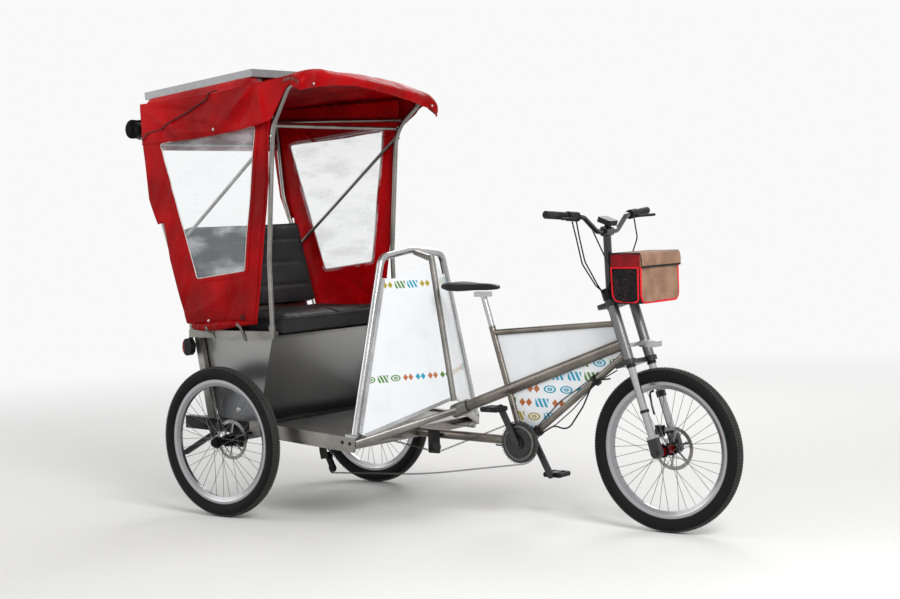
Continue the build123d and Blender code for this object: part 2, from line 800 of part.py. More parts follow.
# Solar panel in its frame, on four feet
panel_angle = math.radians(panel_slope)
panel_along = Vector(math.cos(panel_angle), 0, math.sin(panel_angle))
panel_origin = at(panel_rear_x, 0, panel_rear_z)
panel_plane = Plane(origin=panel_origin, x_dir=panel_along, z_dir=panel_along.cross(Vector(0, 1, 0)))
with BuildPart() as solar_panel:
    with BuildSketch(panel_plane):
        with Locations((panel_length / 2, 0)):
            Rectangle(panel_length, panel_width)
    extrude(amount=-panel_depth)
    with BuildSketch(panel_plane):
        with Locations((panel_length / 2, 0)):
            Rectangle(panel_length - 24, panel_width - 24)
    extrude(amount=-3, mode=Mode.SUBTRACT)
    for hand in (-1, 1):
        for x in (-480, 40):
            inner_y = hand * (panel_width / 2 - 110)
            outer_y = hand * (panel_width / 2 - 70)
            seat = max(roof_z(x - 20, inner_y), roof_z(x + 20, inner_y)) + fit_gap
            top = panel_rear_z + (x - panel_rear_x) * math.tan(panel_angle) - panel_depth
            with BuildSketch(Plane.XY.offset(seat)):
                with Locations((axle_x + x, (inner_y + outer_y) / 2)):
                    Rectangle(40, 40)
            extrude(amount=top + 6 - seat)
save(solar_panel.part, "solar_panel")

# Tail lamps on short brackets under the rails' rear ends
with BuildPart() as tail_lamps:
    for hand in (-1, 1):
        with BuildSketch(side(hand * 462)):
            with Locations((-262, 756)):
                Ellipse(29, 40)
        extrude(amount=15, both=True)
        with BuildSketch(side(hand * 452)):
            with Locations((-258, 790)):
                Rectangle(20, 19)
        extrude(amount=6, both=True)
save(tail_lamps.part, "tail_lamps")

# Cable of the solar panel, over the roof's right edge and down the flap
def on_flap(x, z):
    return at(x, -roof_half(x) - 4.5, z)


panel_cable_points = [
    at(-44, -438, roof_z(-44, -438) + 4.5), at(-58, -roof_half(-58) - 4.5, roof_z(-58, -roof_half(-58)) + 3),
    on_flap(-66, 1884), on_flap(-220, 1825), on_flap(-372, 1766), on_flap(-486, 1750), on_flap(-512, 1714),
]
with BuildPart() as solar_cable:
    add(bent_rod(panel_cable_points, [5, 7, 200, 120, 20], 3))
save(solar_cable.part, "solar_cable")

# Square stays that drop from the rails towards the rear
with BuildPart() as rear_stays:
    for hand in (-1, 1):
        stay_top = at(-176, hand * rail_y, rail_top(-176) - rail_height - 12)
        stay_end = at(-372, hand * rail_y, 251)
        stay_plane = Plane(origin=stay_top, x_dir=(0, 1, 0), z_dir=(stay_end - stay_top).normalized())
        with BuildSketch(stay_plane):
            Rectangle(22, 22)
        extrude(amount=(stay_end - stay_top).length)
        with BuildSketch(side(hand * rail_y)):
            with Locations((-176, rail_top(-176) - rail_height - 5.2)):
                Rectangle(46, 8)
        extrude(amount=14, both=True)
save(rear_stays.part, "rear_stays")

# Rear axle carriers: plates with flange bearings, and the differential between them
carrier_y = rail_y + rail_width / 2
with BuildPart() as axle_carriers:
    for hand in (-1, 1):
        outer = hand * (carrier_y + 4)
        with BuildSketch(side(outer)):
            with BuildLine():
                Polyline((-62, 414), (58, 410), (58, 366), (30, 300), (-34, 300), (-62, 366), close=True)
            make_face()
        extrude(amount=4, both=True)
        with BuildSketch(side(hand * (carrier_y + 15))):
            with Locations((0, wheel_radius)):
                Circle(30)
        extrude(amount=10, both=True)
    with BuildSketch(side(0)):
        with Locations((0, wheel_radius)):
            Circle(half_shaft_radius + running_gap)
    extrude(amount=half_track, both=True, mode=Mode.SUBTRACT)
save(axle_carriers.part, "axle_carriers")

with BuildPart() as differential:
    with BuildSketch(side(0)):
        with Locations((0, wheel_radius)):
            Circle(62)
    extrude(amount=46, both=True)
    with BuildSketch(side(0)):
        with Locations((0, wheel_radius)):
            Circle(30)
    extrude(amount=84, both=True)
    with BuildSketch(side(0)):
        with Locations((0, wheel_radius)):
            Circle(half_shaft_radius + running_gap)
    extrude(amount=90, both=True, mode=Mode.SUBTRACT)
save(differential.part, "differential")

# Bicycle frame
seat_tube_top = at(crank_x - 158, 0, 836)
seat_tube_low = at(crank_x - 15, 0, 350)
frame_runs = (
    (main_tube_low, main_tube_high, main_tube_radius),
    (at(crank_x - 149, 0, 808), on_steer(-4, 0, 560), top_tube_radius),
    (seat_tube_top, seat_tube_low, seat_tube_radius),
    (on_steer(-4, 0, 425), at(crank_x + 17, 0, 350), down_tube_radius),
    (at(deck_front_x + 0.6, 0, 352), at(crank_x - 8, 0, 338), lower_tube_radius),
)
with BuildPart() as bike_frame:
    for start, end, radius in frame_runs:
        with BuildSketch(run_plane(start, end)):
            Circle(radius)
        extrude(amount=(end - start).length)
    with BuildSketch(steer_plane(head_bottom)):
        Circle(head_radius)
    extrude(amount=head_top - head_bottom)
    with BuildSketch(side(0)):
        with Locations((crank_x, crank_z)):
            Circle(shell_radius)
    extrude(amount=shell_half_width, both=True)
    with BuildSketch(side(0)):
        with Locations((crank_x, crank_z)):
            Circle(spindle_radius + running_gap)
    extrude(amount=shell_half_width, both=True, mode=Mode.SUBTRACT)
    with BuildSketch(steer_plane(head_bottom)):
        Circle(steerer_radius + running_gap)
    extrude(amount=head_top - head_bottom, mode=Mode.SUBTRACT)
save(bike_frame.part, "bike_frame")

# Brake hoses and shift cable along the down tube, held on it by two bands
down_low, down_high = frame_runs[3][1], frame_runs[3][0]
down_along = (down_high - down_low).normalized()
down_under = Vector(down_along.Z, 0, -down_along.X)
band_places = (65, 440)
band_length = 14


def beside_down(run, under, y):
    """A point beside the down tube: how far up it, how far below it, and to which side."""
    return down_low + down_along * run + down_under * under + Vector(0, y, 0)


rear_hose = [
    at(wheelbase - 253, -14, 626), beside_down(band_places[1], 0, -20), at(crank_x + 309, -17, 505),
    at(crank_x + 229, -15, 400), at(crank_x + 158, -13, 417), beside_down(band_places[0], 19, -9),
    at(crank_x + 36, -8, 317), at(crank_x - 8, -8, 310), at(crank_x - 150, -8, 317),
]
parking_hose = [
    at(wheelbase - 218, -15, 662), beside_down(band_places[1], 13, -15), at(crank_x + 253, -12, 488),
    at(crank_x + 164, -6, 421), beside_down(band_places[0], 19, 3), beside_down(24, 20, 3),
]
shift_cable = [
    beside_down(band_places[1] + 36, -16, -10), beside_down(band_places[1], -13, -15),
    at(crank_x + 195, -18, 521), at(crank_x + 112, -19, 442), beside_down(band_places[0], -9, -18),
    beside_down(18, 0, -24),
]
with BuildPart() as frame_cables:
    add(bent_rod(rear_hose, [40, 150, 55, 55, 40, 30, 60], 3.5))
    add(bent_rod(parking_hose, [60, 150, 150, 60], 2.5))
    add(bent_rod(shift_cable, [60, 100, 100, 60], 2.5))
    for place in band_places:
        with BuildSketch(run_plane(beside_down(place - band_length / 2, 0, 0), down_high)):
            Circle(25)
            Circle(down_tube_radius + fit_gap, mode=Mode.SUBTRACT)
        extrude(amount=band_length)
    slot_corners = [beside_down(run, under, 0) for run, under in ((0, -10), (500, -10), (500, -30), (0, -30))]
    with BuildSketch(side(0)):
        Polygon(*[(corner.X - axle_x, corner.Z) for corner in slot_corners], align=None)
    extrude(amount=1 + fit_gap, both=True, mode=Mode.SUBTRACT)
save(frame_cables.part, "frame_cables")

# Infill sheets in the frame's two openings, trimmed to the tubes
head_run = (on_steer(0, 0, head_bottom), on_steer(0, 0, head_top), head_radius)
upper_sheet = (at(crank_x - 149, 0, 808), on_steer(-4, 0, 560), on_steer(-4, 0, 470), at(crank_x - 74, 0, 551))
lower_sheet = (at(1209, 0, 551), on_steer(-4, 0, 470), on_steer(-4, 0, 425), at(1318, 0, 385), at(1258, 0, 385))
with BuildPart() as frame_panels:
    for outline in (upper_sheet, lower_sheet):
        with BuildSketch(side(0)):
            Polygon(*[(corner.X - axle_x, corner.Z) for corner in outline], align=None)
            for start, end, radius in frame_runs + (head_run,):
                middle = (start + end) * 0.5
                slope = math.degrees(math.atan2(end.Z - start.Z, end.X - start.X))
                with Locations(Location((middle.X - axle_x, middle.Z), slope)):
                    Rectangle((end - start).length, 2 * (radius + fit_gap), mode=Mode.SUBTRACT)
        extrude(amount=1, both=True)
save(frame_panels.part, "frame_panels")

# Seat post and saddle
post_along = (seat_tube_top - seat_tube_low).normalized()
post_start = seat_tube_top + post_along * fit_gap
post_length = 150
with BuildPart() as seat_post:
    with BuildSketch(run_plane(post_start, post_start + post_along)):
        Circle(13.6)
    extrude(amount=post_length)
    clamp = post_start + post_along * post_length
    with BuildSketch(side(0)):
        with Locations((clamp.X - axle_x, clamp.Z - 4)):
            Rectangle(70, 22)
    extrude(amount=20, both=True)
save(seat_post.part, "seat_post")

saddle_low = clamp.Z + 7 + fit_gap
with BuildPart() as saddle:
    with BuildSketch(Plane.XY.offset(saddle_low)):
        with BuildLine():
            ThreePointArc((axle_x + 960, -92), (axle_x + 890, 0), (axle_x + 960, 92))
            Line((axle_x + 960, 92), (axle_x + 1040, 34))
            Line((axle_x + 1040, 34), (axle_x + 1150, 20))
            ThreePointArc((axle_x + 1150, 20), (axle_x + 1170, 0), (axle_x + 1150, -20))
            Line((axle_x + 1150, -20), (axle_x + 1040, -34))
            Line((axle_x + 1040, -34), (axle_x + 960, -92))
        make_face()
    extrude(amount=44)
save(saddle.part, "saddle")

# Crankset: spindle, chain wheel with guard ring and spider, two arms with pedal pins
turn = math.radians(crank_turn)
right_pedal = at(crank_x - crank_length * math.sin(turn), -pedal_y, crank_z + crank_length * math.cos(turn))
left_pedal = at(crank_x + crank_length * math.sin(turn), pedal_y, crank_z - crank_length * math.cos(turn))
pin_radius = 7
pin_length = 96
with BuildPart() as crankset:
    with BuildSketch(side(0)):
        with Locations((crank_x, crank_z)):
            Circle(spindle_radius)
    extrude(amount=72, both=True)
    with BuildSketch(side(chain_y)):
        with Locations((crank_x, crank_z)):
            Circle(chain_wheel_radius)
            Circle(chain_wheel_radius - 14, mode=Mode.SUBTRACT)
            Circle(24)
            with PolarLocations(0, 5):
                with Locations((48, 0)):
                    Rectangle(64, 13)
    extrude(amount=2, both=True)
    with BuildSketch(side(chain_y)):
        with Locations((crank_x, crank_z)):
            Circle(24)
            Circle(spindle_radius, mode=Mode.SUBTRACT)
    extrude(amount=14)
    for hand, pedal in ((-1, right_pedal), (1, left_pedal)):
        arm_y = hand * 66
        middle = ((pedal.X - axle_x + crank_x) / 2, (pedal.Z + crank_z) / 2)
        angle = math.degrees(math.atan2(pedal.Z - crank_z, pedal.X - axle_x - crank_x))
        with BuildSketch(side(arm_y)):
            with Locations(Location(middle, angle)):
                SlotCenterToCenter(crank_length, 27)
        extrude(amount=7, both=True)
        with BuildSketch(Plane(origin=(pedal.X, hand * 60, pedal.Z), z_dir=(0, hand, 0))):
            Circle(pin_radius)
        extrude(amount=pin_length)
save(crankset.part, "crankset")

for name, pedal, hand in (("right", right_pedal, -1), ("left", left_pedal, 1)):
    middle_y = hand * (pedal_y + 4)
    with BuildPart() as pedal_body:
        with BuildSketch(side(middle_y)):
            with Locations((pedal.X - axle_x, pedal.Z)):
                RectangleRounded(92, 22, 8)
        extrude(amount=38, both=True)
        with BuildSketch(Plane(origin=(pedal.X, middle_y, pedal.Z), z_dir=(0, 0, 1))):
            with Locations((-28, 0), (28, 0)):
                Rectangle(22, 54)
        extrude(amount=12, both=True, mode=Mode.SUBTRACT)
        with BuildSketch(side(middle_y)):
            with Locations((pedal.X - axle_x, pedal.Z)):
                Circle(pin_radius + running_gap)
        extrude(amount=38, both=True, mode=Mode.SUBTRACT)
    save(pedal_body.part, f"pedal_{name}")

# Rear gear block on its cross shaft, carried by two hangers from a cross bar
gear_x = 190
gear_z = 330
gear_first_y = -32
gear_pitch = 5
gear_radii = (58, 51, 45, 39, 34, 29, 25)
hanger_right_y = -70.5
hanger_left_y = 52
hanger_thickness = 6
with BuildPart() as gear_block:
    with BuildSketch(side(-76)):
        with Locations((gear_x, gear_z)):
            Circle(9)
    extrude(amount=-134)
    for number, radius in enumerate(gear_radii):
        with BuildSketch(side(gear_first_y - gear_pitch * number)):
            with Locations((gear_x, gear_z)):
                Circle(radius)
        extrude(amount=2)
        with BuildSketch(side(gear_first_y - gear_pitch * number)):
            with Locations((gear_x, gear_z)):
                Circle(20)
        extrude(amount=gear_pitch)
    with BuildSketch(side(34)):
        with Locations((gear_x, gear_z)):
            Circle(40)
    extrude(amount=3)
save(gear_block.part, "gear_block")

cross_bar_z = 399
with BuildPart() as gear_hangers:
    for place in (hanger_right_y, hanger_left_y):
        with BuildSketch(side(place)):
            with BuildLine():
                Polyline(
                    (gear_x - 26, 300), (gear_x + 26, 300), (gear_x + 18, cross_bar_z),
                    (gear_x - 18, cross_bar_z), close=True,
                )
            make_face()
            with Locations((gear_x, gear_z)):
                Circle(9 + running_gap, mode=Mode.SUBTRACT)
        extrude(amount=hanger_thickness / 2, both=True)
    with BuildSketch(side(0)):
        with Locations((gear_x, cross_bar_z)):
            Rectangle(40, 10)
    extrude(amount=inner_half, both=True)
save(gear_hangers.part, "gear_hangers")

# Rear mech: body outside the hanger, cage plates on both sides of two jockey wheels
jockey_radius = 18
upper_jockey = (204, 222)
lower_jockey = (231, 165)
mech_outer_y = hanger_right_y - hanger_thickness / 2 - fit_gap
cage_gap = 8
cage_length = math.dist(upper_jockey, lower_jockey)
cage_slope = math.degrees(math.atan2(lower_jockey[1] - upper_jockey[1], lower_jockey[0] - upper_jockey[0]))
cage_middle = ((upper_jockey[0] + lower_jockey[0]) / 2, (upper_jockey[1] + lower_jockey[1]) / 2)
with BuildPart() as rear_mech:
    for jockey in (upper_jockey, lower_jockey):
        with BuildSketch(side(chain_y)):
            with Locations(jockey):
                Circle(jockey_radius)
        extrude(amount=2.5, both=True)
        with BuildSketch(side(chain_y)):
            with Locations(jockey):
                Circle(5)
        extrude(amount=cage_gap, both=True)
    for place in (chain_y + cage_gap - 2, chain_y - cage_gap):
        with BuildSketch(side(place)):
            with Locations(Location(cage_middle, cage_slope)):
                SlotCenterToCenter(cage_length, 26)
        extrude(amount=2)
    with BuildSketch(side(chain_y - cage_gap)):
        with Locations(upper_jockey):
            Circle(12)
    extrude(amount=chain_y - cage_gap - mech_outer_y + 4)
    with BuildSketch(side(mech_outer_y)):
        with BuildLine():
            Polyline((178, 312), (204, 312), (218, 262), (220, 214), (190, 208), (182, 246), close=True)
        make_face()
    extrude(amount=12)
save(rear_mech.part, "rear_mech")

# Chain idler under the lower tube, on a guard plate that hangs from a clamp
idler_x = 840
idler_z = 298
idler_radius = 20
guard_x = 815
guard_z = 318
lower_start, lower_end = frame_runs[-1][0], frame_runs[-1][1]
idler_place = lower_start + (lower_end - lower_start) * ((axle_x + guard_x - lower_start.X) / (lower_end.X - lower_start.X))
with BuildPart() as chain_idler:
    with BuildSketch(side(chain_y + 10)):
        with Locations((guard_x, guard_z)):
            RectangleRounded(64, 104, 6)
    extrude(amount=-4)
    with BuildSketch(side(chain_y + 12)):
        with Locations((guard_x, idler_place.Z)):
            Rectangle(26, 30)
    extrude(amount=-36)
    with BuildSketch(side(chain_y)):
        with Locations((idler_x, idler_z)):
            Circle(idler_radius)
    extrude(amount=2.5, both=True)
    with BuildSketch(side(chain_y - 6)):
        with Locations((idler_x, idler_z)):
            Circle(5)
    extrude(amount=-18)
    with BuildSketch(run_plane(lower_start, lower_end)):
        Circle(lower_tube_radius + fit_gap)
    extrude(amount=(lower_end - lower_start).length, mode=Mode.SUBTRACT)
save(chain_idler.part, "chain_idler")

# Drive chain: one closed run, with the x, z, middle radius and turning hand of each stop
link_depth = 8
link_seat = fit_gap + link_depth / 2
chain_sag = 22
sag_radius = 3000
sag_slope = math.radians(5.6)
sag_x = (crank_x + lower_jockey[0]) / 2 - math.sin(sag_slope) * (sag_radius - chain_sag)
sag_z = 194 + math.cos(sag_slope) * (sag_radius - chain_sag)
chain_stops = (
    (crank_x, crank_z, chain_wheel_radius + link_seat, 1),
    (idler_x, idler_z, idler_radius + link_seat, -1),
    (gear_x, gear_z, gear_radii[3] + link_seat, 1),
    (*upper_jockey, jockey_radius + link_seat, -1),
    (*lower_jockey, jockey_radius + link_seat, 1),
    (sag_x, sag_z, sag_radius, 1),
)


def belt_edges(inset):
    """Straight runs between the stops and the middle points of the arcs that join them."""
    runs = []
    for stop, following in zip(chain_stops, chain_stops[1:] + chain_stops[:1]):
        across = following[0] - stop[0]
        rise = following[1] - stop[1]
        leaving = stop[3] * (stop[2] - stop[3] * inset)
        arriving = following[3] * (following[2] - following[3] * inset)
        lean = math.atan2(rise, across) + math.acos((arriving - leaving) / math.hypot(across, rise))
        normal = (math.cos(lean), math.sin(lean))
        start = (stop[0] - leaving * normal[0], stop[1] - leaving * normal[1])
        end = (following[0] - arriving * normal[0], following[1] - arriving * normal[1])
        runs.append((start, end))
    bends = []
    for number, stop in enumerate(chain_stops):
        arrive = runs[number - 1][1]
        leave = runs[number][0]
        first = math.atan2(arrive[1] - stop[1], arrive[0] - stop[0])
        sweep_angle = (math.atan2(leave[1] - stop[1], leave[0] - stop[0]) - first) * stop[3] % (2 * math.pi)
        half = first + stop[3] * sweep_angle / 2
        radius = stop[2] - stop[3] * inset
        bends.append((arrive, (stop[0] + radius * math.cos(half), stop[1] + radius * math.sin(half)), leave))
    return runs, bends


with BuildPart() as drive_chain:
    with BuildSketch(side(chain_y)):
        for inset, mode in ((-link_depth / 2, Mode.ADD), (link_depth / 2, Mode.SUBTRACT)):
            runs, bends = belt_edges(inset)
            with BuildLine():
                for run, bend in zip(runs, bends):
                    ThreePointArc(*bend)
                    Line(*run)
            make_face(mode=mode)
    extrude(amount=2.8, both=True)
save(drive_chain.part, "drive_chain")

# Fork: steerer, two crowns, outer legs, stanchions, axle lugs and the through axle
with BuildPart() as fork:
    with BuildSketch(steer_plane(head_bottom - 14)):
        Circle(steerer_radius)
    extrude(amount=leg_top - head_bottom + 14)
    for bottom in (head_bottom - cup_height - crown_height, head_top + cup_height):
        with BuildSketch(steer_plane(bottom)):
            Rectangle(36, 2 * leg_half_space)
            Circle(24)
            with Locations((fork_offset / 2, 0)):
                Rectangle(fork_offset, 2 * leg_half_space)
            with Locations((fork_offset, -leg_half_space), (fork_offset, leg_half_space)):
                Circle(leg_radius + 7)
        extrude(amount=crown_height)
    for cup_start in (head_bottom - cup_height, head_top + 1):
        with BuildSketch(steer_plane(cup_start)):
            Circle(22)
        extrude(amount=cup_height - 1)
    for hand in (-1, 1):
        leg_y_place = hand * leg_half_space
        outer_start = on_steer(fork_offset, leg_y_place, seal_height)
        outer_end = on_steer(fork_offset, leg_y_place, leg_top)
        with BuildSketch(run_plane(outer_start, outer_end)):
            Circle(leg_radius)
        extrude(amount=leg_top - seal_height)
        foot = on_steer(fork_offset, leg_y_place, 20)
        with BuildSketch(run_plane(foot, outer_start)):
            Circle(stanchion_radius)
        extrude(amount=seal_height - 20)
        with BuildSketch(side(hand * (leg_half_space - 14))):
            with Locations((wheelbase, wheel_radius)):
                Circle(24)
            with Locations(Location((wheelbase - 12, wheel_radius + 38), 17.5)):
                Rectangle(44, 60)
        extrude(amount=hand * -28)
    with BuildSketch(side(0)):
        with Locations((wheelbase, wheel_radius)):
            Circle(front_axle_radius)
    extrude(amount=leg_half_space + 20, both=True)
save(fork.part, "fork")

# Stem and handlebar
bar_points = [
    at(grip_x, -bar_half_width, grip_z), at(stem_top_x - 6, -170, 1302), at(stem_top_x, -80, stem_top_z),
    at(stem_top_x, 80, stem_top_z), at(stem_top_x - 6, 170, 1302), at(grip_x, bar_half_width, grip_z),
]
bar_tube = bent_rod(bar_points, [50, 50, 50, 50], bar_radius)
stem_low = on_steer(0, 0, leg_top + 6)
stem_high = at(stem_top_x, 0, stem_top_z - 8)
with BuildPart() as handlebar:
    add(bar_tube)
    with BuildSketch(steer_plane(leg_top + fit_gap)):
        Circle(24)
    extrude(amount=14)
    with BuildSketch(run_plane(stem_low, stem_high)):
        Circle(17)
    extrude(amount=(stem_high - stem_low).length)
    with BuildSketch(side(0)):
        with Locations((stem_top_x, stem_top_z)):
            Circle(21)
    extrude(amount=30, both=True)
save(handlebar.part, "handlebar")

# Grips, lever clamps and levers
with BuildPart() as bar_controls:
    for hand in (-1, 1):
        outer_point = at(grip_x, hand * bar_half_width, grip_z)
        inner_point = at(stem_top_x - 6, hand * 170, 1302)
        inward = (inner_point - outer_point).normalized()
        for begin, length, radius in ((-2, 125, grip_radius), (132, 62, 20)):
            start = outer_point + inward * begin
            with BuildSketch(Plane(origin=start, z_dir=inward)):
                Circle(radius)
                if begin > 0:
                    Circle(bar_radius + fit_gap, mode=Mode.SUBTRACT)
            extrude(amount=length)
            if begin < 0:
                with BuildSketch(Plane(origin=outer_point, z_dir=inward)):
                    Circle(bar_radius + fit_gap)
                extrude(amount=length, mode=Mode.SUBTRACT)
        lever_start = outer_point + inward * 160 + Vector(20, 0, -10)
        lever_end = outer_point + inward * 30 + Vector(52, 0, -16)
        with BuildSketch(run_plane(lever_start, lever_end)):
            Circle(6)
        extrude(amount=(lever_end - lever_start).length)
save(bar_controls.part, "bar_controls")

# Hoses and cables from the levers to a round guide on the stem
guide_low = leg_top + 16
guide_length = 46
guide_end = on_steer(0, 0, guide_low + guide_length / 2)
guide_x = guide_end.X - axle_x
cable_routes = (
    [(1709, -246, 1286), (1724, -240, 1212), (1712, -184, 1112), (1703, -70, 1018), (guide_x, -22, guide_end.Z)],
    [(1700, -200, 1286), (1708, -194, 1222), (1704, -150, 1120), (1702, -54, 1020), (guide_x - 10, -18, guide_end.Z)],
    [(1690, -66, 1252), (1742, -44, 1122), (1762, -34, 1084), (1742, -26, 1020), (guide_x + 8, -20, guide_end.Z)],
    [(1710, 246, 1286), (1742, 214, 1206), (1764, 130, 1140), (1738, 50, 1040), (guide_x, 20, guide_end.Z)],
)
with BuildPart() as bar_cables:
    for route in cable_routes:
        points = [at(x + stem_top_x - 1722, y, z) for x, y, z in route]
        add(bent_rod(points, [60, 80, 45], 3))
    with BuildSketch(steer_plane(guide_low)):
        Circle(27)
    extrude(amount=guide_length)
    with BuildSketch(run_plane(stem_low, stem_high)):
        Circle(17 + fit_gap)
    extrude(amount=(stem_high - stem_low).length, mode=Mode.SUBTRACT)
save(bar_cables.part, "bar_cables")

display_plane = Plane(origin=at(stem_top_x + 8, -6, stem_top_z + 42), x_dir=(0.94, 0, -0.34), z_dir=(0.34, 0, 0.94))
with BuildPart() as bar_display:
    with BuildSketch(display_plane):
        RectangleRounded(62, 74, 10)
    extrude(amount=11, both=True)
    with BuildSketch(side(0)):
        with Locations((stem_top_x + 6, stem_top_z + 26)):
            Rectangle(20, 30)
    extrude(amount=12, both=True)
    with BuildSketch(side(0)):
        with Locations((stem_top_x, stem_top_z)):
            Circle(21 + fit_gap)
    extrude(amount=30, both=True, mode=Mode.SUBTRACT)
save(bar_display.part, "bar_display")

# Handlebar bag on its bracket
with BuildPart() as bar_bag:
    with BuildSketch(Plane.XY.offset(bag_bottom)):
        with Locations((axle_x + (bag_rear_x + bag_front_x) / 2, 0)):
            RectangleRounded(bag_front_x - bag_rear_x, 2 * bag_half_width, 18)
    extrude(amount=bag_top - bag_bottom)
save(bar_bag.part, "bar_bag")

bag_bracket_z = 1085
with BuildPart() as bag_bracket:
    with BuildSketch(side(0)):
        with BuildLine():
            stem_face = stem_low.X - axle_x + 10
            Polyline(
                (stem_face, bag_bracket_z), (bag_rear_x - fit_gap, bag_bracket_z + 14),
                (bag_rear_x - fit_gap, bag_bracket_z - 40), (stem_face, bag_bracket_z - 24), close=True,
            )
        make_face()
    extrude(amount=16, both=True)
    with BuildSketch(run_plane(stem_low, stem_high)):
        Circle(17 + fit_gap)
    extrude(amount=(stem_high - stem_low).length, mode=Mode.SUBTRACT)
save(bag_bracket.part, "bag_bracket")

# Front lamp on a bar between the fork legs
lamp_height = 448
lamp_centre = on_steer(124.2, 0, 435.7)
with BuildPart() as front_lamp:
    with BuildSketch(steer_plane(lamp_height - 8)):
        with Locations((fork_offset + leg_radius + 6 + fit_gap, 0)):
            Rectangle(12, 2 * leg_half_space)
    extrude(amount=16)
    with BuildSketch(side(0)):
        with Locations((lamp_centre.X - axle_x, lamp_centre.Z)):
            RectangleRounded(82, 26, 6)
    extrude(amount=24, both=True)
save(front_lamp.part, "front_lamp")

# Brake calipers
with BuildPart() as front_caliper:
    with BuildSketch(side(front_hub_half + 2)):
        with Locations((wheelbase - 62, wheel_radius + 70)):
            Rectangle(34, 46)
    extrude(amount=13, both=True)
    with BuildSketch(side(front_hub_half + 9)):
        with Locations((wheelbase - 36, wheel_radius + 72)):
            Rectangle(60, 26)
    extrude(amount=leg_half_space - stanchion_radius - fit_gap - front_hub_half - 9, both=True)
    with BuildSketch(side(front_hub_half + 1.3)):
        with Locations((wheelbase, wheel_radius)):
            Circle(disc_radius + 4)
    extrude(amount=2.5, both=True, mode=Mode.SUBTRACT)
save(front_caliper.part, "front_caliper")

with BuildPart() as rear_calipers:
    for hand in (-1, 1):
        with BuildSketch(side(hand * 477)):
            with Locations((-74, wheel_radius + 52)):
                Rectangle(46, 34)
        extrude(amount=13, both=True)
        with BuildSketch(side(hand * 478)):
            with Locations((0, wheel_radius)):
                Circle(disc_radius + 4)
        extrude(amount=3, both=True, mode=Mode.SUBTRACT)
        with BuildSketch(side(hand * 446)):
            with Locations((-74, wheel_radius + 52)):
                Rectangle(40, 24)
        extrude(amount=18, both=True)
save(rear_calipers.part, "rear_calipers")
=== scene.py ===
# %% [markdown]
# # Cycle rickshaw
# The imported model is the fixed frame. Every piece below is made in that frame, in metres: X forwards,
# Y to the rider's left, Z up, with the ground at 0. Pieces that roll or turn ride on their own body.

# %% Load the frame
import math
import random

import bmesh
import bpy
import numpy as np
from mathutils import Matrix, Vector
from mathutils.bvhtree import BVHTree
from mathutils.geometry import delaunay_2d_cdt


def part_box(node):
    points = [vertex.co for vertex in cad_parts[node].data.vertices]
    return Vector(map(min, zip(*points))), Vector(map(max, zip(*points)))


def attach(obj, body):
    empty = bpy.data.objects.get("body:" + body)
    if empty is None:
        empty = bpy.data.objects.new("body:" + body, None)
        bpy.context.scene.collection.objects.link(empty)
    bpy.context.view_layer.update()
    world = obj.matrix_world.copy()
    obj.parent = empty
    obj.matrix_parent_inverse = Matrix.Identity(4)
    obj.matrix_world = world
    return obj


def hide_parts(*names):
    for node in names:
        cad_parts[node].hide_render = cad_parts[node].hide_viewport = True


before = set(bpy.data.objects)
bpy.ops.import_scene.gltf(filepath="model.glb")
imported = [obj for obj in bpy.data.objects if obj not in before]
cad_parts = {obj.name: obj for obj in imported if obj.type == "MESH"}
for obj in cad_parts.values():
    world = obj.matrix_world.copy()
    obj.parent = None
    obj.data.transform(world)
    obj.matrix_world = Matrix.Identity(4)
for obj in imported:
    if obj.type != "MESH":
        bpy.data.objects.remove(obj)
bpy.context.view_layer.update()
scene = bpy.context.scene
AXLE_X = -0.8285
WHEEL_RADIUS = 0.34
WHEELBASE = 1.98
HALF_TRACK = 0.545


def linked(name, data):
    """An object for some data, in the scene."""
    made = bpy.data.objects.new(name, data)
    scene.collection.objects.link(made)
    return made


print("frame loaded:", len(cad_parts), "nodes")

# %% [markdown]
# ## Camera
# The photo was taken from the rider's right, ahead of the front wheel, at about eye height. The camera
# matrix is written from a heading, a small downward pitch and a small roll, which is easier to
# reason about than three Euler angles.

# %% Camera
HEADING = 0.6342
PITCH = -0.053
ROLL = -0.033
CAMERA_PLACE = Vector((5.5253 + AXLE_X, -6.2845, 1.3655))
SENSOR_MM = 36.0
FOCAL_PX = 1761.9
PHOTO_WIDTH_PX = 900

level_view = Vector((-math.sin(HEADING), math.cos(HEADING), 0))
level_right = Vector((math.cos(HEADING), math.sin(HEADING), 0))
view = level_view * math.cos(PITCH) + Vector((0, 0, math.sin(PITCH)))
above = -level_view * math.sin(PITCH) + Vector((0, 0, math.cos(PITCH)))
right = level_right * math.cos(ROLL) + above * math.sin(ROLL)
top = -level_right * math.sin(ROLL) + above * math.cos(ROLL)

camera_data = bpy.data.cameras.new("camera")
camera_data.sensor_width = SENSOR_MM
camera_data.lens = FOCAL_PX / PHOTO_WIDTH_PX * SENSOR_MM
camera = linked("camera", camera_data)
camera.matrix_world = Matrix.Translation(CAMERA_PLACE) @ Matrix((right, top, -view)).transposed().to_4x4()
scene.camera = camera
print("camera lens", round(camera_data.lens, 1), "mm")

# %% [markdown]
# ## Lamps and floor
# A broad soft lamp high on the rider's right stands for the sun's side of the photo, a weaker one
# fills the shade and a third one lights the edges from behind.

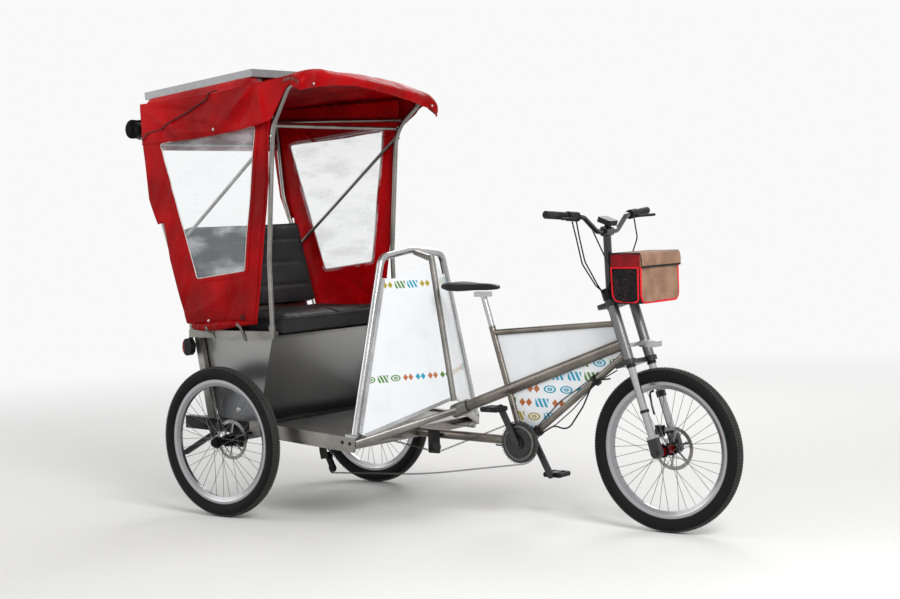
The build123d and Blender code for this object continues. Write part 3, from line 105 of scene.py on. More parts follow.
# %% Lamps and floor
LAMPS = (
    ("key_lamp", (5.0, -2.8, 4.4), 2.4, 305),
    ("fill_lamp", (-4.6, -3.4, 3.0), 3.5, 60),
    ("back_lamp", (-1.5, 5.0, 4.2), 3.0, 120),
)
LAMP_AIM = Vector((0, 0, 0.8))
FLOOR_HALF = 30.0
for name, spot, size, power in LAMPS:
    data = bpy.data.lights.new(name, "AREA")
    data.size, data.energy = size, power
    lamp = linked(name, data)
    lamp.location = spot
    lamp.rotation_euler = (LAMP_AIM - Vector(spot)).to_track_quat("-Z", "Y").to_euler()

floor_mesh = bpy.data.meshes.new("floor")
corners = [(x * FLOOR_HALF, y * FLOOR_HALF, 0) for x, y in ((-1, -1), (1, -1), (1, 1), (-1, 1))]
floor_mesh.from_pydata(corners, [], [(0, 1, 2, 3)])
floor = linked("floor", floor_mesh)
scene.view_settings.view_transform = "Standard"
print("lamps", len(bpy.data.lights))

# %% [markdown]
# ## Shader sums as Python sums
# A material is easier to read as an expression than as a list of nodes and links. Wire wraps one
# output socket: its operators add Math nodes, and its one method node adds any other kind. Python
# finds an operator by a method's name, such as __add__, so a table sets them all.

# %% Wire
class Wire:
    """An output socket that can stand in sums."""

    def __init__(self, tree, socket=None):
        self.tree = tree
        self.socket = socket

    def node(self, kind, settings=None, inputs=None, output=0):
        """Adds one node: first its settings, then the values or wires of its inputs."""
        made = self.tree.nodes.new(kind)
        for name, value in (settings or {}).items():
            setattr(made, name, value)
        for name, value in (inputs or {}).items():
            if isinstance(value, Wire):
                self.tree.links.new(value.socket, made.inputs[name])
            else:
                made.inputs[name].default_value = value
        return Wire(self.tree, made.outputs[output])


def math_method(operation, order=1):
    """A method that adds one Math node. Order -1 swaps its two terms."""
    return lambda *terms: terms[0].node(
        "ShaderNodeMath", {"operation": operation}, dict(enumerate(terms[::order]))
    )


for name, operation in {"add": "ADD", "sub": "SUBTRACT", "mul": "MULTIPLY", "truediv": "DIVIDE"}.items():
    setattr(Wire, f"__{name}__", math_method(operation))
    setattr(Wire, f"__r{name}__", math_method(operation, -1))
for name, operation in {
    "__mod__": "FLOORED_MODULO", "__gt__": "GREATER_THAN", "__lt__": "LESS_THAN", "__abs__": "ABSOLUTE",
    "larger": "MAXIMUM", "sine": "SINE", "root": "SQRT", "whole": "FLOOR",
}.items():
    setattr(Wire, name, math_method(operation))
print("Wire is ready")

# %% [markdown]
# ## A finish in the making
# Finish starts a material with one Principled shader, sets what is the same all over on the
# shader's own sockets, and keeps the few moves that come back in every finish: noise at a scale,
# a soft step, a mix of two colours and a bump from several heights.

# %% Finish
class Finish:
    """A material, the wires of its Object coordinates and the shader that it ends in."""

    def __init__(self, name, **fixed):
        self.material = bpy.data.materials.new(name)
        self.material.use_nodes = True
        self.tree = self.material.node_tree
        self.shader = self.tree.nodes["Principled BSDF"]
        for socket, value in fixed.items():
            self.shader.inputs[socket.replace("_", " ")].default_value = value
        self.place = Wire(self.tree).node("ShaderNodeTexCoord", output="Object")
        self.node = self.place.node
        self.x, self.y, self.z = [
            self.node("ShaderNodeSeparateXYZ", inputs={0: self.place}, output=axis) for axis in range(3)
        ]

    def noise(self, scale, detail, stretch=(1, 1, 1), shift=0.0):
        """Noise from 0 to 1 on the piece's own coordinates."""
        where = self.node("ShaderNodeMapping", inputs={
            "Vector": self.place, "Scale": stretch, "Location": (shift, shift, shift),
        })
        return self.node("ShaderNodeTexNoise", inputs={"Vector": where, "Scale": scale, "Detail": detail})

    def span(self, value, low, high, to_low, to_high, kind="LINEAR"):
        """A value carried from one range into another."""
        return self.node(
            "ShaderNodeMapRange", {"interpolation_type": kind},
            {"Value": value, "From Min": low, "From Max": high, "To Min": to_low, "To Max": to_high},
        )

    def step(self, value, low, high):
        """0 below low, 1 above high, smooth between."""
        return self.span(value, low, high, 0, 1, "SMOOTHSTEP")

    def mix(self, mask, first, second):
        """Colour first where the mask is 0 and second where it is 1."""
        return self.node("ShaderNodeMix", {"data_type": "RGBA"}, {0: mask, 6: first, 7: second}, output=2)

    def feed(self, **wires):
        """Links wires to the shader's sockets."""
        for socket, wire in wires.items():
            self.tree.links.new(wire.socket, self.shader.inputs[socket.replace("_", " ")])

    def bump(self, height, distance, strength):
        inputs = {"Height": height, "Distance": distance, "Strength": strength}
        self.feed(Normal=self.node("ShaderNodeBump", inputs=inputs))

    def dress(self, *names):
        """Puts the finish on CAD nodes."""
        for name in names:
            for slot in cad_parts[name].material_slots:
                slot.material = self.material
        return self


print("Finish is ready")

# %% [markdown]
# ## Surround and floor
# A plain grey floor would end in a dark line at the horizon. So the floor keeps its shade near the
# vehicle, where it carries the shadow, and passes over into the surround's white further off. Only rays
# from the camera, from metal and through glass see that white. It lights nothing, and the surround
# lights the vehicle with a weaker plain light.

# %% Surround and floor finish
SURROUND_SEEN = 0.95
SURROUND_LIGHT = 0.62
FLOOR_FADE = (2.2, 8.5)


def looked_at(wire):
    """1 for rays from the camera, from metal and through glass."""
    kinds = ("Is Camera Ray", "Is Glossy Ray", "Is Transmission Ray")
    camera_ray, glossy, through = [wire.node("ShaderNodeLightPath", output=kind) for kind in kinds]
    return camera_ray.larger(glossy).larger(through)


world = bpy.data.worlds.new("surround")
world.use_nodes = True
scene.world = world
sky = Wire(world.node_tree)
strength = sky.node("ShaderNodeMapRange", inputs={
    "Value": looked_at(sky), "To Min": SURROUND_LIGHT, "To Max": SURROUND_SEEN,
})
background = world.node_tree.nodes["Background"]
background.inputs["Color"].default_value = (1, 1, 1, 1)
world.node_tree.links.new(strength.socket, background.inputs["Strength"])

floor_finish = Finish("pale_floor", Roughness=0.85, Base_Color=(0.74, 0.74, 0.73, 1))
from_middle = (floor_finish.x * floor_finish.x + floor_finish.y * floor_finish.y).root()
white = floor_finish.node("ShaderNodeEmission", inputs={"Strength": SURROUND_SEEN})
blended = floor_finish.node("ShaderNodeMixShader", inputs={
    0: floor_finish.step(from_middle, *FLOOR_FADE) * looked_at(floor_finish.place),
    1: Wire(floor_finish.tree, floor_finish.shader.outputs[0]), 2: white,
})
floor_finish.tree.links.new(
    blended.socket, floor_finish.tree.nodes["Material Output"].inputs["Surface"]
)
floor.data.materials.append(floor_finish.material)
print("floor finish ready")

# %% [markdown]
# ## Bare metal tubes
# The body and the bicycle half are welded from bare tubes, wiped and weathered: grey, neither mirror
# nor matt. Long thin noise gives the brushing and wide noise the dull and cleaner places.

# %% Brushed metal finishes
def brushed_metal(name, dark, light, rough_low, rough_high):
    finish = Finish(name, Metallic=1.0)
    lines = finish.noise(110, 3, (6, 6, 1))
    patches = finish.noise(7, 4, shift=3)
    worn = finish.step(patches * 0.4 + lines * 0.6, 0.3, 0.7)
    finish.feed(
        Base_Color=finish.mix(worn, dark, light),
        Roughness=finish.span(lines * 0.5 + patches * 0.5, 0.3, 0.7, rough_low, rough_high),
    )
    finish.bump(lines, 0.0003, 0.25)
    return finish


brushed_metal("frame_metal", (0.15, 0.142, 0.132, 1), (0.35, 0.335, 0.312, 1), 0.22, 0.44).dress(
    "foot_deck", "front_tongue", "centre_post", "seat_frame", "canopy_frame")
brushed_metal("bicycle_metal", (0.1, 0.088, 0.077, 1), (0.27, 0.245, 0.215, 1), 0.2, 0.4).dress("bike_frame")
brushed_metal("hoop_metal", (0.34, 0.34, 0.345, 1), (0.6, 0.6, 0.6, 1), 0.14, 0.3).dress(
    "grab_hoop", "panel_strips", "seat_post", "front_lamp")
brushed_metal("steel_dark", (0.1, 0.095, 0.09, 1), (0.24, 0.23, 0.22, 1), 0.3, 0.5).dress(
    "gear_block", "drive_chain", "rear_shaft_left", "rear_shaft_right")
brushed_metal("disc_steel", (0.22, 0.21, 0.2, 1), (0.4, 0.39, 0.38, 1), 0.22, 0.36).dress(
    "front_disc", "rear_disc_left", "rear_disc_right")
gear_alloy = brushed_metal("gear_alloy", (0.025, 0.025, 0.026, 1), (0.09, 0.09, 0.092, 1), 0.25, 0.45)
gear_alloy.dress("crankset")

# The seat box's sheet is painted darker towards its foot. This is painted shade for the dark floor that the
# lower sheet reflects. Rolled lines add the brushing on top.
box_metal = Finish("box_metal", Metallic=1.0).dress("seat_box")
rolled = box_metal.noise(150, 3, (1, 1, 9))
painted_shade_and_grain = box_metal.span(box_metal.z + box_metal.noise(3, 3) * 0.12, 0.45, 0.84, 0, 1)
painted_shade_and_grain = painted_shade_and_grain + (rolled - 0.5) * 0.25
box_metal.feed(
    Base_Color=box_metal.mix(painted_shade_and_grain, (0.14, 0.147, 0.157, 1), (0.3, 0.298, 0.292, 1)),
    Roughness=0.24 + rolled * 0.14,
)
box_metal.bump(rolled, 0.0002, 0.2)
print("metals ready")

# %% [markdown]
# ## Black coats, plastics and rubber
# Powder coat on steel is even with a fine orange peel, moulded plastic is greyer and duller, and
# both gather pale dust where noise is high.

# %% Coats, plastics, rubber
DUST = (0.19, 0.17, 0.15, 1)
BLACK = (0.008, 0.008, 0.009, 1)


def coated(name, colour, rough_low, rough_high, grain, grain_depth, dust=DUST, **fixed):
    finish = Finish(name, **fixed)
    peel = finish.noise(grain, 2)
    dusty = finish.step(finish.noise(9, 5, shift=1), 0.5, 0.8)
    finish.feed(
        Base_Color=finish.mix(dusty * 0.22, colour, dust),
        Roughness=finish.span(peel * 0.4 + dusty * 0.6, 0.1, 0.8, rough_low, rough_high),
    )
    finish.bump(peel, grain_depth, 0.4)
    return finish


black_coat = coated("black_coat", BLACK, 0.3, 0.55, 320, 0.0003, Specular_IOR_Level=0.25)
black_coat.dress("chassis_rails", "gear_hangers", "axle_carriers")
black_plastic = coated("black_plastic", BLACK, 0.42, 0.62, 480, 0.0004, Specular_IOR_Level=0.2)
black_plastic.dress(
    "rear_mech", "chain_idler", "rear_calipers", "front_caliper", "bag_bracket", "pedal_right", "pedal_left",
    "bar_cables", "frame_cables", "bar_display", "solar_cable", "rear_stays",
)
rubber_black = coated("rubber_black", (0.008, 0.008, 0.008, 1), 0.6, 0.8, 240, 0.0006, Specular_IOR_Level=0.2)
rubber_black.dress("bar_controls")
coated("gloss_black", BLACK, 0.12, 0.34, 60, 0.0001, Coat_Weight=0.4).dress("handlebar")
coated("cast_grey", (0.1, 0.1, 0.105, 1), 0.5, 0.75, 160, 0.0008, Metallic=0.7).dress("differential")
print("coats ready")

# %% [markdown]
# ## Fork
# The fork's outer tubes are satin metal, the inner tubes below them are polished, and the crowns, the
# seals between both and the ends at the axle are black. One finish tells them apart by the height
# along the steering axis, which leans back, so height is a sum of x and z.

# %% Fork finish
STEER_TILT = math.radians(17.5)
STEER_UP = Vector((-math.sin(STEER_TILT), 0, math.cos(STEER_TILT)))
STEER_FORE = Vector((math.cos(STEER_TILT), 0, math.sin(STEER_TILT)))
LEG_FORE = 0.056
STEER_FOOT = Vector((AXLE_X + WHEELBASE, 0, WHEEL_RADIUS)) - STEER_FORE * LEG_FORE
SEAL_HEIGHT = 0.380
SEAL = (0.372, 0.396)
CROWN_LOW, FORK_END = 0.625, 0.058


def on_steer(fore, y, height):
    """A point measured ahead of, beside and up the steering axis."""
    return STEER_FOOT + STEER_FORE * fore + STEER_UP * height + Vector((0, y, 0))


fork_metal = Finish("fork_metal").dress("fork")
height = (fork_metal.x - STEER_FOOT.x) * STEER_UP.x + (fork_metal.z - STEER_FOOT.z) * STEER_UP.z
crowns = (height > CROWN_LOW) + (height > SEAL[0]) * (height < SEAL[1]) + (height < FORK_END)
upper_tube = height > SEAL_HEIGHT
brushing = fork_metal.noise(120, 3, (6, 6, 1))
satin = fork_metal.mix(brushing, (0.11, 0.11, 0.112, 1), (0.27, 0.27, 0.275, 1))
polished = fork_metal.mix(brushing, (0.34, 0.34, 0.34, 1), (0.54, 0.54, 0.55, 1))
tubes = fork_metal.mix(upper_tube, polished, satin)
fork_metal.feed(
    Base_Color=fork_metal.mix(crowns, tubes, (0.012, 0.012, 0.013, 1)),
    Metallic=1 - crowns,
    Roughness=0.13 + upper_tube * 0.17 + crowns * 0.1 + brushing * 0.08,
)
print("fork seal at", SEAL_HEIGHT, "m up the steering axis")

# %% [markdown]
# ## Wheels
# Rims are anodised with a brighter brake band, spokes are bright steel, and the tyre's tread is
# greyer than its wall. All are told apart by the distance from the wheel's own axle.

# %% Rim and tyre finishes
SPOKES_END, BRAKE_BAND, HUB, RED_CORE = 0.251, (0.266, 0.279), 0.034, 0.019
RIM_INNER_HALF = 0.015


def axle_distance(finish, centre_x):
    """Distance from a wheel's axle, as a wire."""
    across = finish.x - centre_x
    rise = finish.z - WHEEL_RADIUS
    return (across * across + rise * rise).root()


def tyre_finish(name, centre_x):
    finish = Finish(name, Specular_IOR_Level=0.14)
    radius = axle_distance(finish, centre_x)
    tread = finish.step(radius, 0.327, 0.336)
    dusty = finish.noise(14, 5)
    grime = finish.mix(dusty, (0.012, 0.012, 0.012, 1), (0.05, 0.05, 0.046, 1))
    finish.feed(
        Base_Color=finish.mix(tread, (0.006, 0.006, 0.006, 1), grime),
        Roughness=finish.span(dusty + tread * 0.3, 0.2, 1.0, 0.55, 0.85),
    )
    finish.bump((radius * 2400).sine() * (1 - tread) + dusty, 0.0004, 0.5)
    return finish


def rim_finish(name, centre_x, core_radius):
    finish = Finish(name, Metallic=1.0)
    radius = axle_distance(finish, centre_x)
    rim = finish.step(radius, SPOKES_END - 0.0005, SPOKES_END + 0.0005)
    hub = radius < HUB
    brake_band = (radius > BRAKE_BAND[0]) * (radius < BRAKE_BAND[1])
    brake_band = brake_band * (abs(abs(finish.y) - HALF_TRACK) > RIM_INNER_HALF)
    turned = finish.noise(12, 3)
    band = finish.mix(brake_band, (0.27, 0.27, 0.28, 1), (0.42, 0.42, 0.435, 1))
    body = finish.mix(turned * 0.4, band, (0.36, 0.36, 0.37, 1))
    spoke = finish.mix(turned, (0.07, 0.07, 0.072, 1), (0.17, 0.17, 0.175, 1))
    inner = finish.mix(hub, spoke, (0.01, 0.01, 0.011, 1))
    inner = finish.mix(radius < core_radius, inner, (0.3, 0.004, 0.008, 1))
    finish.feed(
        Base_Color=finish.mix(rim, inner, body),
        Roughness=finish.span(turned + hub * 0.3, 0.3, 1.0, 0.2, 0.42),
    )
    return finish


tyre_finishes = {}
for end, centre_x, core_radius, sides in (
    ("rear", AXLE_X, 0.0, ("_left", "_right")), ("front", AXLE_X + WHEELBASE, RED_CORE, ("",)),
):
    tyre_finishes[end] = tyre_finish(end + "_tyre", centre_x).dress(*[end + "_tyre" + side for side in sides])
    rim_finish(end + "_rim", centre_x, core_radius).dress(*[end + "_wheel" + side for side in sides])
print("tyre finishes", list(tyre_finishes))

# %% [markdown]
# ## Red coated cloth
# The canopy is vinyl-coated cloth: saturated red with a soft gloss, a fine weave that shows through
# the coat and slow creases. Painted light: the colour is paler on the crests of the slow creases
# and darker in their hollows.

# %% Red vinyl
def vinyl(name, dark, bright, crease_depth):
    finish = Finish(name, Specular_IOR_Level=0.07)
    slow_creases_and_painted_light = finish.noise(3.2, 4)
    crease = finish.noise(11, 5, (1, 1, 0.5), shift=2)
    weave = (finish.x * 4200).sine() * (finish.z * 4200).sine()
    # Painted light: the colour follows the height of the slow creases, paler on their crests and darker in
    # their hollows.
    finish.feed(
        Base_Color=finish.mix(finish.step(slow_creases_and_painted_light, 0.3, 0.72), dark, bright),
        Roughness=finish.span(crease, 0.3, 0.7, 0.3, 0.48),
    )
    finish.bump(slow_creases_and_painted_light * 2.5 + crease + weave * 0.012, crease_depth, 0.6)
    return finish


red_vinyl = vinyl("red_vinyl", (0.2, 0.0004, 0.001, 1), (0.47, 0.0006, 0.003, 1), 0.012)
red_vinyl.dress("canopy_roof", "canopy_sides", "rear_flap")
black_vinyl = vinyl("black_vinyl", (0.012, 0.012, 0.013, 1), (0.03, 0.03, 0.032, 1), 0.004)
black_vinyl.dress("seat_cushion", "seat_back", "saddle", "rolled_curtain")
vinyl("bag_cloth", (0.3, 0.19, 0.1, 1), (0.42, 0.28, 0.16, 1), 0.003).dress("bar_bag")
print("vinyl ready")

# %% [markdown]
# ## Clear window, solar cells and lamps
# The window is clear sheet with a haze. The solar panel's cells are a grid with thin bright lines,
# inside a grey frame that is told apart by its distance from the panel's middle. The panel's
# underside, which slopes with the panel, is grey too.

# %% Window, solar panel and tail lamps
clear_sheet = Finish("clear_sheet", Roughness=0.08, IOR=1.35, Specular_IOR_Level=0.5).dress("windows")
haze = clear_sheet.step(clear_sheet.noise(6, 4, (1, 1, 2.5)), 0.42, 0.75)
clear_sheet.feed(
    Base_Color=clear_sheet.mix(haze, (0.75, 0.82, 0.86, 1), (0.9, 0.93, 0.95, 1)),
    Alpha=clear_sheet.span(haze, 0, 1, 0.1, 0.3),
)
clear_sheet.bump(clear_sheet.noise(4, 3, shift=5), 0.01, 0.5)

PANEL_LOW, PANEL_HIGH = [Vector(corner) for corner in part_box("solar_panel")]
PANEL_SLOPE = 0.0928
PANEL_RIM = 0.0135
PANEL_DEPTH = 0.008
CELL = 0.0575
CELL_GAP = 0.0014
solar = Finish("solar_cells", Specular_IOR_Level=0.12).dress("solar_panel")
across_cell, along_cell = [abs((value % CELL) - CELL / 2) for value in (solar.y, solar.x)]
cell_line = across_cell.larger(along_cell) > CELL / 2 - CELL_GAP
from_middle = abs(solar.x - (PANEL_LOW.x + PANEL_HIGH.x) / 2)
inside = abs(solar.y) < PANEL_HIGH.y - PANEL_RIM
inside = inside * (from_middle < (PANEL_HIGH.x - PANEL_LOW.x) / 2 - PANEL_RIM)
underside = (solar.z - solar.x * PANEL_SLOPE) < (PANEL_HIGH.z - PANEL_HIGH.x * PANEL_SLOPE - PANEL_DEPTH)
frame_mask = 1 - inside * (1 - underside)
cells = solar.mix(cell_line, (0.006, 0.009, 0.03, 1), (0.3, 0.32, 0.36, 1))
dirt = solar.noise(30, 4)
rim_grey = solar.mix(dirt, (0.2, 0.205, 0.212, 1), (0.32, 0.325, 0.33, 1))
solar.feed(
    Base_Color=solar.mix(frame_mask, cells, rim_grey),
    Metallic=frame_mask * 0.75,
    Roughness=solar.span(frame_mask + dirt * 0.3, 0, 1.3, 0.14, 0.48),
)

LENS_X = AXLE_X - 0.279
lamp_red = Finish("lamp_red", Roughness=0.2, Specular_IOR_Level=0.2).dress("tail_lamps")
ribs = (lamp_red.z * 1500).sine()
lens = lamp_red.x < LENS_X
# Painted highlights: the red lens is painted brighter on the crests of its ribs and darker between them.
lens_red_and_painted_rib_light = lamp_red.mix(ribs * 0.5 + 0.5, (0.1, 0.003, 0.004, 1), (0.32, 0.008, 0.01, 1))
lamp_red.feed(Base_Color=lamp_red.mix(lens, (0.007, 0.007, 0.008, 1), lens_red_and_painted_rib_light))
lamp_red.bump(ribs * lens, 0.0008, 0.8)
print("cells across", round((PANEL_HIGH.y - PANEL_LOW.y) / CELL, 1))

# %% [markdown]
# ## White sheets with rows of coloured marks
# The white sheets carry rows of small marks in four colours. Each mark sits in a cell of a grid: the
# cell's number, hashed by a White Noise node, picks its colour and its shape, so no mark is drawn twice
# by hand. The marks here are rings, lozenges and slanted bars.

# %% Marked white sheets
MARK_COLOURS = ((0.01, 0.28, 0.42, 1), (0.42, 0.12, 0.03, 1), (0.07, 0.2, 0.02, 1), (0.36, 0.28, 0.01, 1))
WHITE = (0.74, 0.76, 0.78, 1)


def marks(finish, across, up, cell_w, cell_h, mark_w, mark_h):
    """Mask and colour of a grid of marks on the coordinates across and up."""
    row = (up / cell_h).whole()
    shifted = across / cell_w + (row % 2) * 0.5
    column = shifted.whole()
    seed = finish.node("ShaderNodeCombineXYZ", inputs={0: column, 1: row, 2: 9.0})
    pick = finish.node("ShaderNodeTexWhiteNoise", {"noise_dimensions": "3D"}, {"Vector": seed})
    u = (shifted - column - 0.5) * (cell_w / mark_w)
    v = (up / cell_h - row - 0.5) * (cell_h / mark_h)
    inside_mark = (abs(u) < 0.5) * (abs(v) < 0.5)
    bars = ((u * 3 + v * 0.8) % 1) > 0.38
    lozenge = abs(abs(u * 2) % 1 - 0.5) * 2 + abs(v) * 2 < 0.95
    length = ((u * 2) * (u * 2) * 0.9 + (v * 2) * (v * 2)).root()
    ring = (abs(((length * 2) % 1) - 0.5) < 0.27) * (length < 1)
    kind = pick * 7.0 % 1
    shape = (kind < 0.34) * bars + (kind > 0.34) * (kind < 0.67) * lozenge + (kind > 0.67) * ring
    colour = finish.node("ShaderNodeValToRGB", inputs={0: (pick * 3.7) % 1})
    ramp = colour.socket.node.color_ramp
    ramp.interpolation = "CONSTANT"
    ramp.elements.remove(ramp.elements[-1])
    ramp.elements[0].color = MARK_COLOURS[0]
    for number, shade in enumerate(MARK_COLOURS[1:], 1):
        ramp.elements.new(number / len(MARK_COLOURS)).color = shade
    return inside_mark * shape, colour


def marked_sheet(name, node, grid, where):
    """White sheet with marks. grid and where are made from the finish's own coordinates."""
    finish = Finish(name, Roughness=0.3, Coat_Weight=0.2).dress(node)
    mask, colour = marks(finish, *grid(finish))
    smear = finish.step(finish.noise(8, 5), 0.45, 0.8)
    ground = finish.mix(smear * 0.25, WHITE, (0.5, 0.5, 0.5, 1))
    finish.feed(Base_Color=finish.mix(mask * where(finish), ground, colour))


LOW_ROW, HIGH_ROW = (0.592, 0.65), (0.998, 1.056)
MAIN_SLOPE = 0.3626
MAIN_RISE = 0.456 - 0.915 * MAIN_SLOPE
marked_sheet(
    "front_sheet", "front_panels",
    lambda sheet: (sheet.y * 1.12, sheet.z - 0.012, 0.060, 0.058, 0.050, 0.032),
    lambda sheet: (sheet.z > LOW_ROW[0]) * (sheet.z < LOW_ROW[1])
    + (sheet.z > HIGH_ROW[0]) * (sheet.z < HIGH_ROW[1]),
)
marked_sheet(
    "frame_sheet", "frame_panels",
    lambda sheet: (sheet.x, sheet.z, 0.084, 0.060, 0.068, 0.038),
    lambda sheet: (sheet.z - (sheet.x - AXLE_X) * MAIN_SLOPE) < MAIN_RISE,
)
print("materials", len(bpy.data.materials))

# %% [markdown]
# ## Making pieces
# A piece here is a mesh whose points are already in place, so its object stays at the origin. The
# helpers turn rows of points into a skin of faces, smooth it, give it a finish and let it ride.

# %% Helpers for pieces
def place(x, y, z):
    """A point measured forwards from the rear axle, in metres."""
    return Vector((AXLE_X + x, y, z))


def circle(count, radius=1.0, first=0.0):
    """Points round a circle, as (across, rise) pairs."""
    angles = [first + 2 * math.pi * step / count for step in range(count)]
    return [(radius * math.cos(angle), radius * math.sin(angle)) for angle in angles]


def loop_pairs(points):
    """Each point of a closed line with the one after it."""
    return zip(points, points[1:] + points[:1])


def to_mesh(build, name, outwards=True):
    if outwards:
        bmesh.ops.recalc_face_normals(build, faces=build.faces)
    mesh = bpy.data.meshes.new(name)
    build.to_mesh(mesh)
    build.free()
    return mesh


def settle(shape, name, look, smooth_angle=40):
    """The object of a mesh, a bmesh or several. look is its finish, the body it rides on and a slot name,
    which is not used.
    """
    finish, body, slot = look
    if isinstance(shape, list):
        shape = joined(shape)
    mesh = to_mesh(shape, name) if isinstance(shape, bmesh.types.BMesh) else shape
    piece = linked(name, mesh)
    mesh.materials.clear()
    mesh.materials.append(finish.material)
    if smooth_angle:
        mesh.shade_smooth()
        mesh.set_sharp_from_angle(angle=math.radians(smooth_angle))
    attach(piece, body)
    return piece


def skin(rows, wrap_rows=False, wrap_points=False):
    """Quads between rows of equally many points."""
    build = bmesh.new()
    made = [[build.verts.new(point) for point in row] for row in rows]
    for one, two in list(zip(made, made[1:])) + ([(made[-1], made[0])] if wrap_rows else []):
        count = len(one)
        for step in range(count if wrap_points else count - 1):
            following = (step + 1) % count
            build.faces.new((one[step], one[following], two[following], two[step]))
    return build


def capped(build):
    """A skin with its open ends closed."""
    bmesh.ops.holes_fill(build, edges=[edge for edge in build.edges if edge.is_boundary], sides=0)
    return build


def thicken(piece, depth):
    """Gives a sheet its thickness, half to each side."""
    wall = piece.modifiers.new("wall", "SOLIDIFY")
    wall.thickness = depth
    wall.offset = 0.0
    return piece


def sweep(path, radius, sides=10, closed=False, flat=1.0, up=(0, 0, 1)):
    """A tube along points. flat below 1 presses it into a band, square to up."""
    path = [Vector(point) for point in path]
    count = len(path)
    rows = []
    for number, point in enumerate(path):
        before = path[(number - 1) % count] if closed or number else path[0]
        after = path[(number + 1) % count] if closed or number < count - 1 else path[-1]
        ahead = (after - before).normalized()
        across = ahead.cross(Vector(up)).normalized()
        lift = across.cross(ahead).normalized()
        size = radius[number] if isinstance(radius, list) else radius
        rows.append([point + across * side + lift * rise * flat for side, rise in circle(sides, size)])
    build = skin(rows, wrap_rows=closed, wrap_points=True)
    return build if closed else capped(build)


def joined(parts):
    """Several bmeshes as one."""
    whole = bmesh.new()
    for part in parts:
        kept = bpy.data.meshes.new("part")
        part.to_mesh(kept)
        part.free()
        whole.from_mesh(kept)
        bpy.data.meshes.remove(kept)
    return whole


def blend_points(points, value):
    """Straight-line reading of (value, result, …) rows."""
    values, *columns = zip(*points)
    return [float(np.interp(value, values, column)) for column in columns]


def bent(start, corner, end, steps):
    """Points of the curve that rounds a corner."""
    shares = [step / steps for step in range(steps + 1)]
    return [
        (1 - share) ** 2 * start + 2 * share * (1 - share) * corner + share ** 2 * end
        for share in shares
    ]


def rounded_path(corners, radius=0.018, steps=5):
    """An open path with its inner corners rounded."""
    corners = [Vector(corner) for corner in corners]
    points = corners[:1]
    for before, corner, after in zip(corners, corners[1:], corners[2:]):
        start, end = [
            corner + (other - corner).normalized() * min(radius, (other - corner).length * 0.45)
            for other in (before, after)
        ]
        points += bent(start, corner, end, steps)
    return points + corners[-1:]


print("helpers are ready")

# %% [markdown]
# ## Folds in coated cloth
# Coated cloth that hangs between two stays breaks into long soft ridges that start at the points that
# hold it. Cloth simulation could find them, but this cloth is cut, laced and tied in ways that the
# solver would have to be told one by one, so each ridge is given: from where, to where, how
# wide and how deep. A little seeded unevenness keeps them from looking drawn.

# %% Folds
def fold_relief(across, up, folds):
    """Height at a point of a sheet from ridges (x0, z0, x1, z1, width, height)."""
    relief = 0.0
    for x0, z0, x1, z1, width, height in folds:
        run_x, run_z = x1 - x0, z1 - z0
        length = math.hypot(run_x, run_z)
        along = ((across - x0) * run_x + (up - z0) * run_z) / length ** 2
        off = ((up - z0) * run_x - (across - x0) * run_z) / length
        inside = min(max(along, 0.0), 1.0)
        over = (along - inside) * length
        fade = math.sin(math.pi * (0.12 + 0.76 * inside))
        relief += height * fade * math.exp(-abs(off / width) ** 1.5 - (over / width) ** 2)
    return relief


def scattered_folds(seed, count, low, high, tilt, spread, lengths, widths, heights):
    """Seeded small ridges inside the corners low and high."""
    pick = random.Random(seed)
    folds = []
    for number in range(count):
        x = pick.uniform(low[0], high[0])
        z = pick.uniform(low[1], high[1])
        turn = math.radians(pick.gauss(tilt, spread))
        length = pick.uniform(*lengths)
        height = pick.uniform(*heights) * pick.choice((-1, 1))
        end = x + length * math.cos(turn), z + length * math.sin(turn)
        folds.append((x, z, *end, pick.uniform(*widths), height))
    return tuple(folds)


print("folds are ready")

# %% [markdown]
# ## Canopy roof
# The roof is one sheet: it hangs down on one side as a flap, goes over the crowned bows and hangs
# down on the other side. It is made as one skin of rows across the vehicle. In each row the flap
# follows its cut lower edge, then the crown follows an arc through three heights. Tables give what
# changes along the roof, as rows of x and the values there.

# %% Roof tables
RED = (red_vinyl, "chassis", "roof_red")
CLOTH = 0.0022
ROOF_SECTIONS = (
    (-0.520, 1.886, 1.886, 1.902),
    (0.0, 1.908, 1.902, 1.955),
    (0.456, 1.956, 1.900, 1.974),
)
ROOF_HALF = ((-0.520, 0.460), (0.456, 0.496), (0.500, 0.4976))
REAR_X, FRONT_X = -0.520, 0.500
BOW_FRONT = 0.449
BOW_GAP = 0.976
FRONT_EDGE = (
    (-0.500, 1.936), (-0.490, 1.951), (-0.464, 1.968), (-0.430, 1.977), (-0.390, 1.982), (-0.341, 1.984),
    (0.0, 1.953), (0.400, 1.906), (0.438, 1.898), (0.466, 1.884), (0.486, 1.866), (0.500, 1.846),
)
FLAP_EDGE = (
    (-0.520, 1.700), (-0.420, 1.7015), (-0.300, 1.706), (-0.190, 1.711), (-0.100, 1.716), (0.0, 1.724),
    (0.100, 1.735), (0.200, 1.748), (0.260, 1.757), (0.312, 1.768),
)
BOW_EDGE = (
    (0.312, 1.768, 1.768), (0.360, 1.832, 1.806), (0.400, 1.886, 1.836), (0.425, 1.914, 1.850),
    (0.440, 1.920, 1.850), (0.455, 1.908, 1.835), (0.500, 1.890, 1.796),
)
FLAP_ROWS = 34
CROWN_ROWS = 96
LENGTH_ROWS = 150
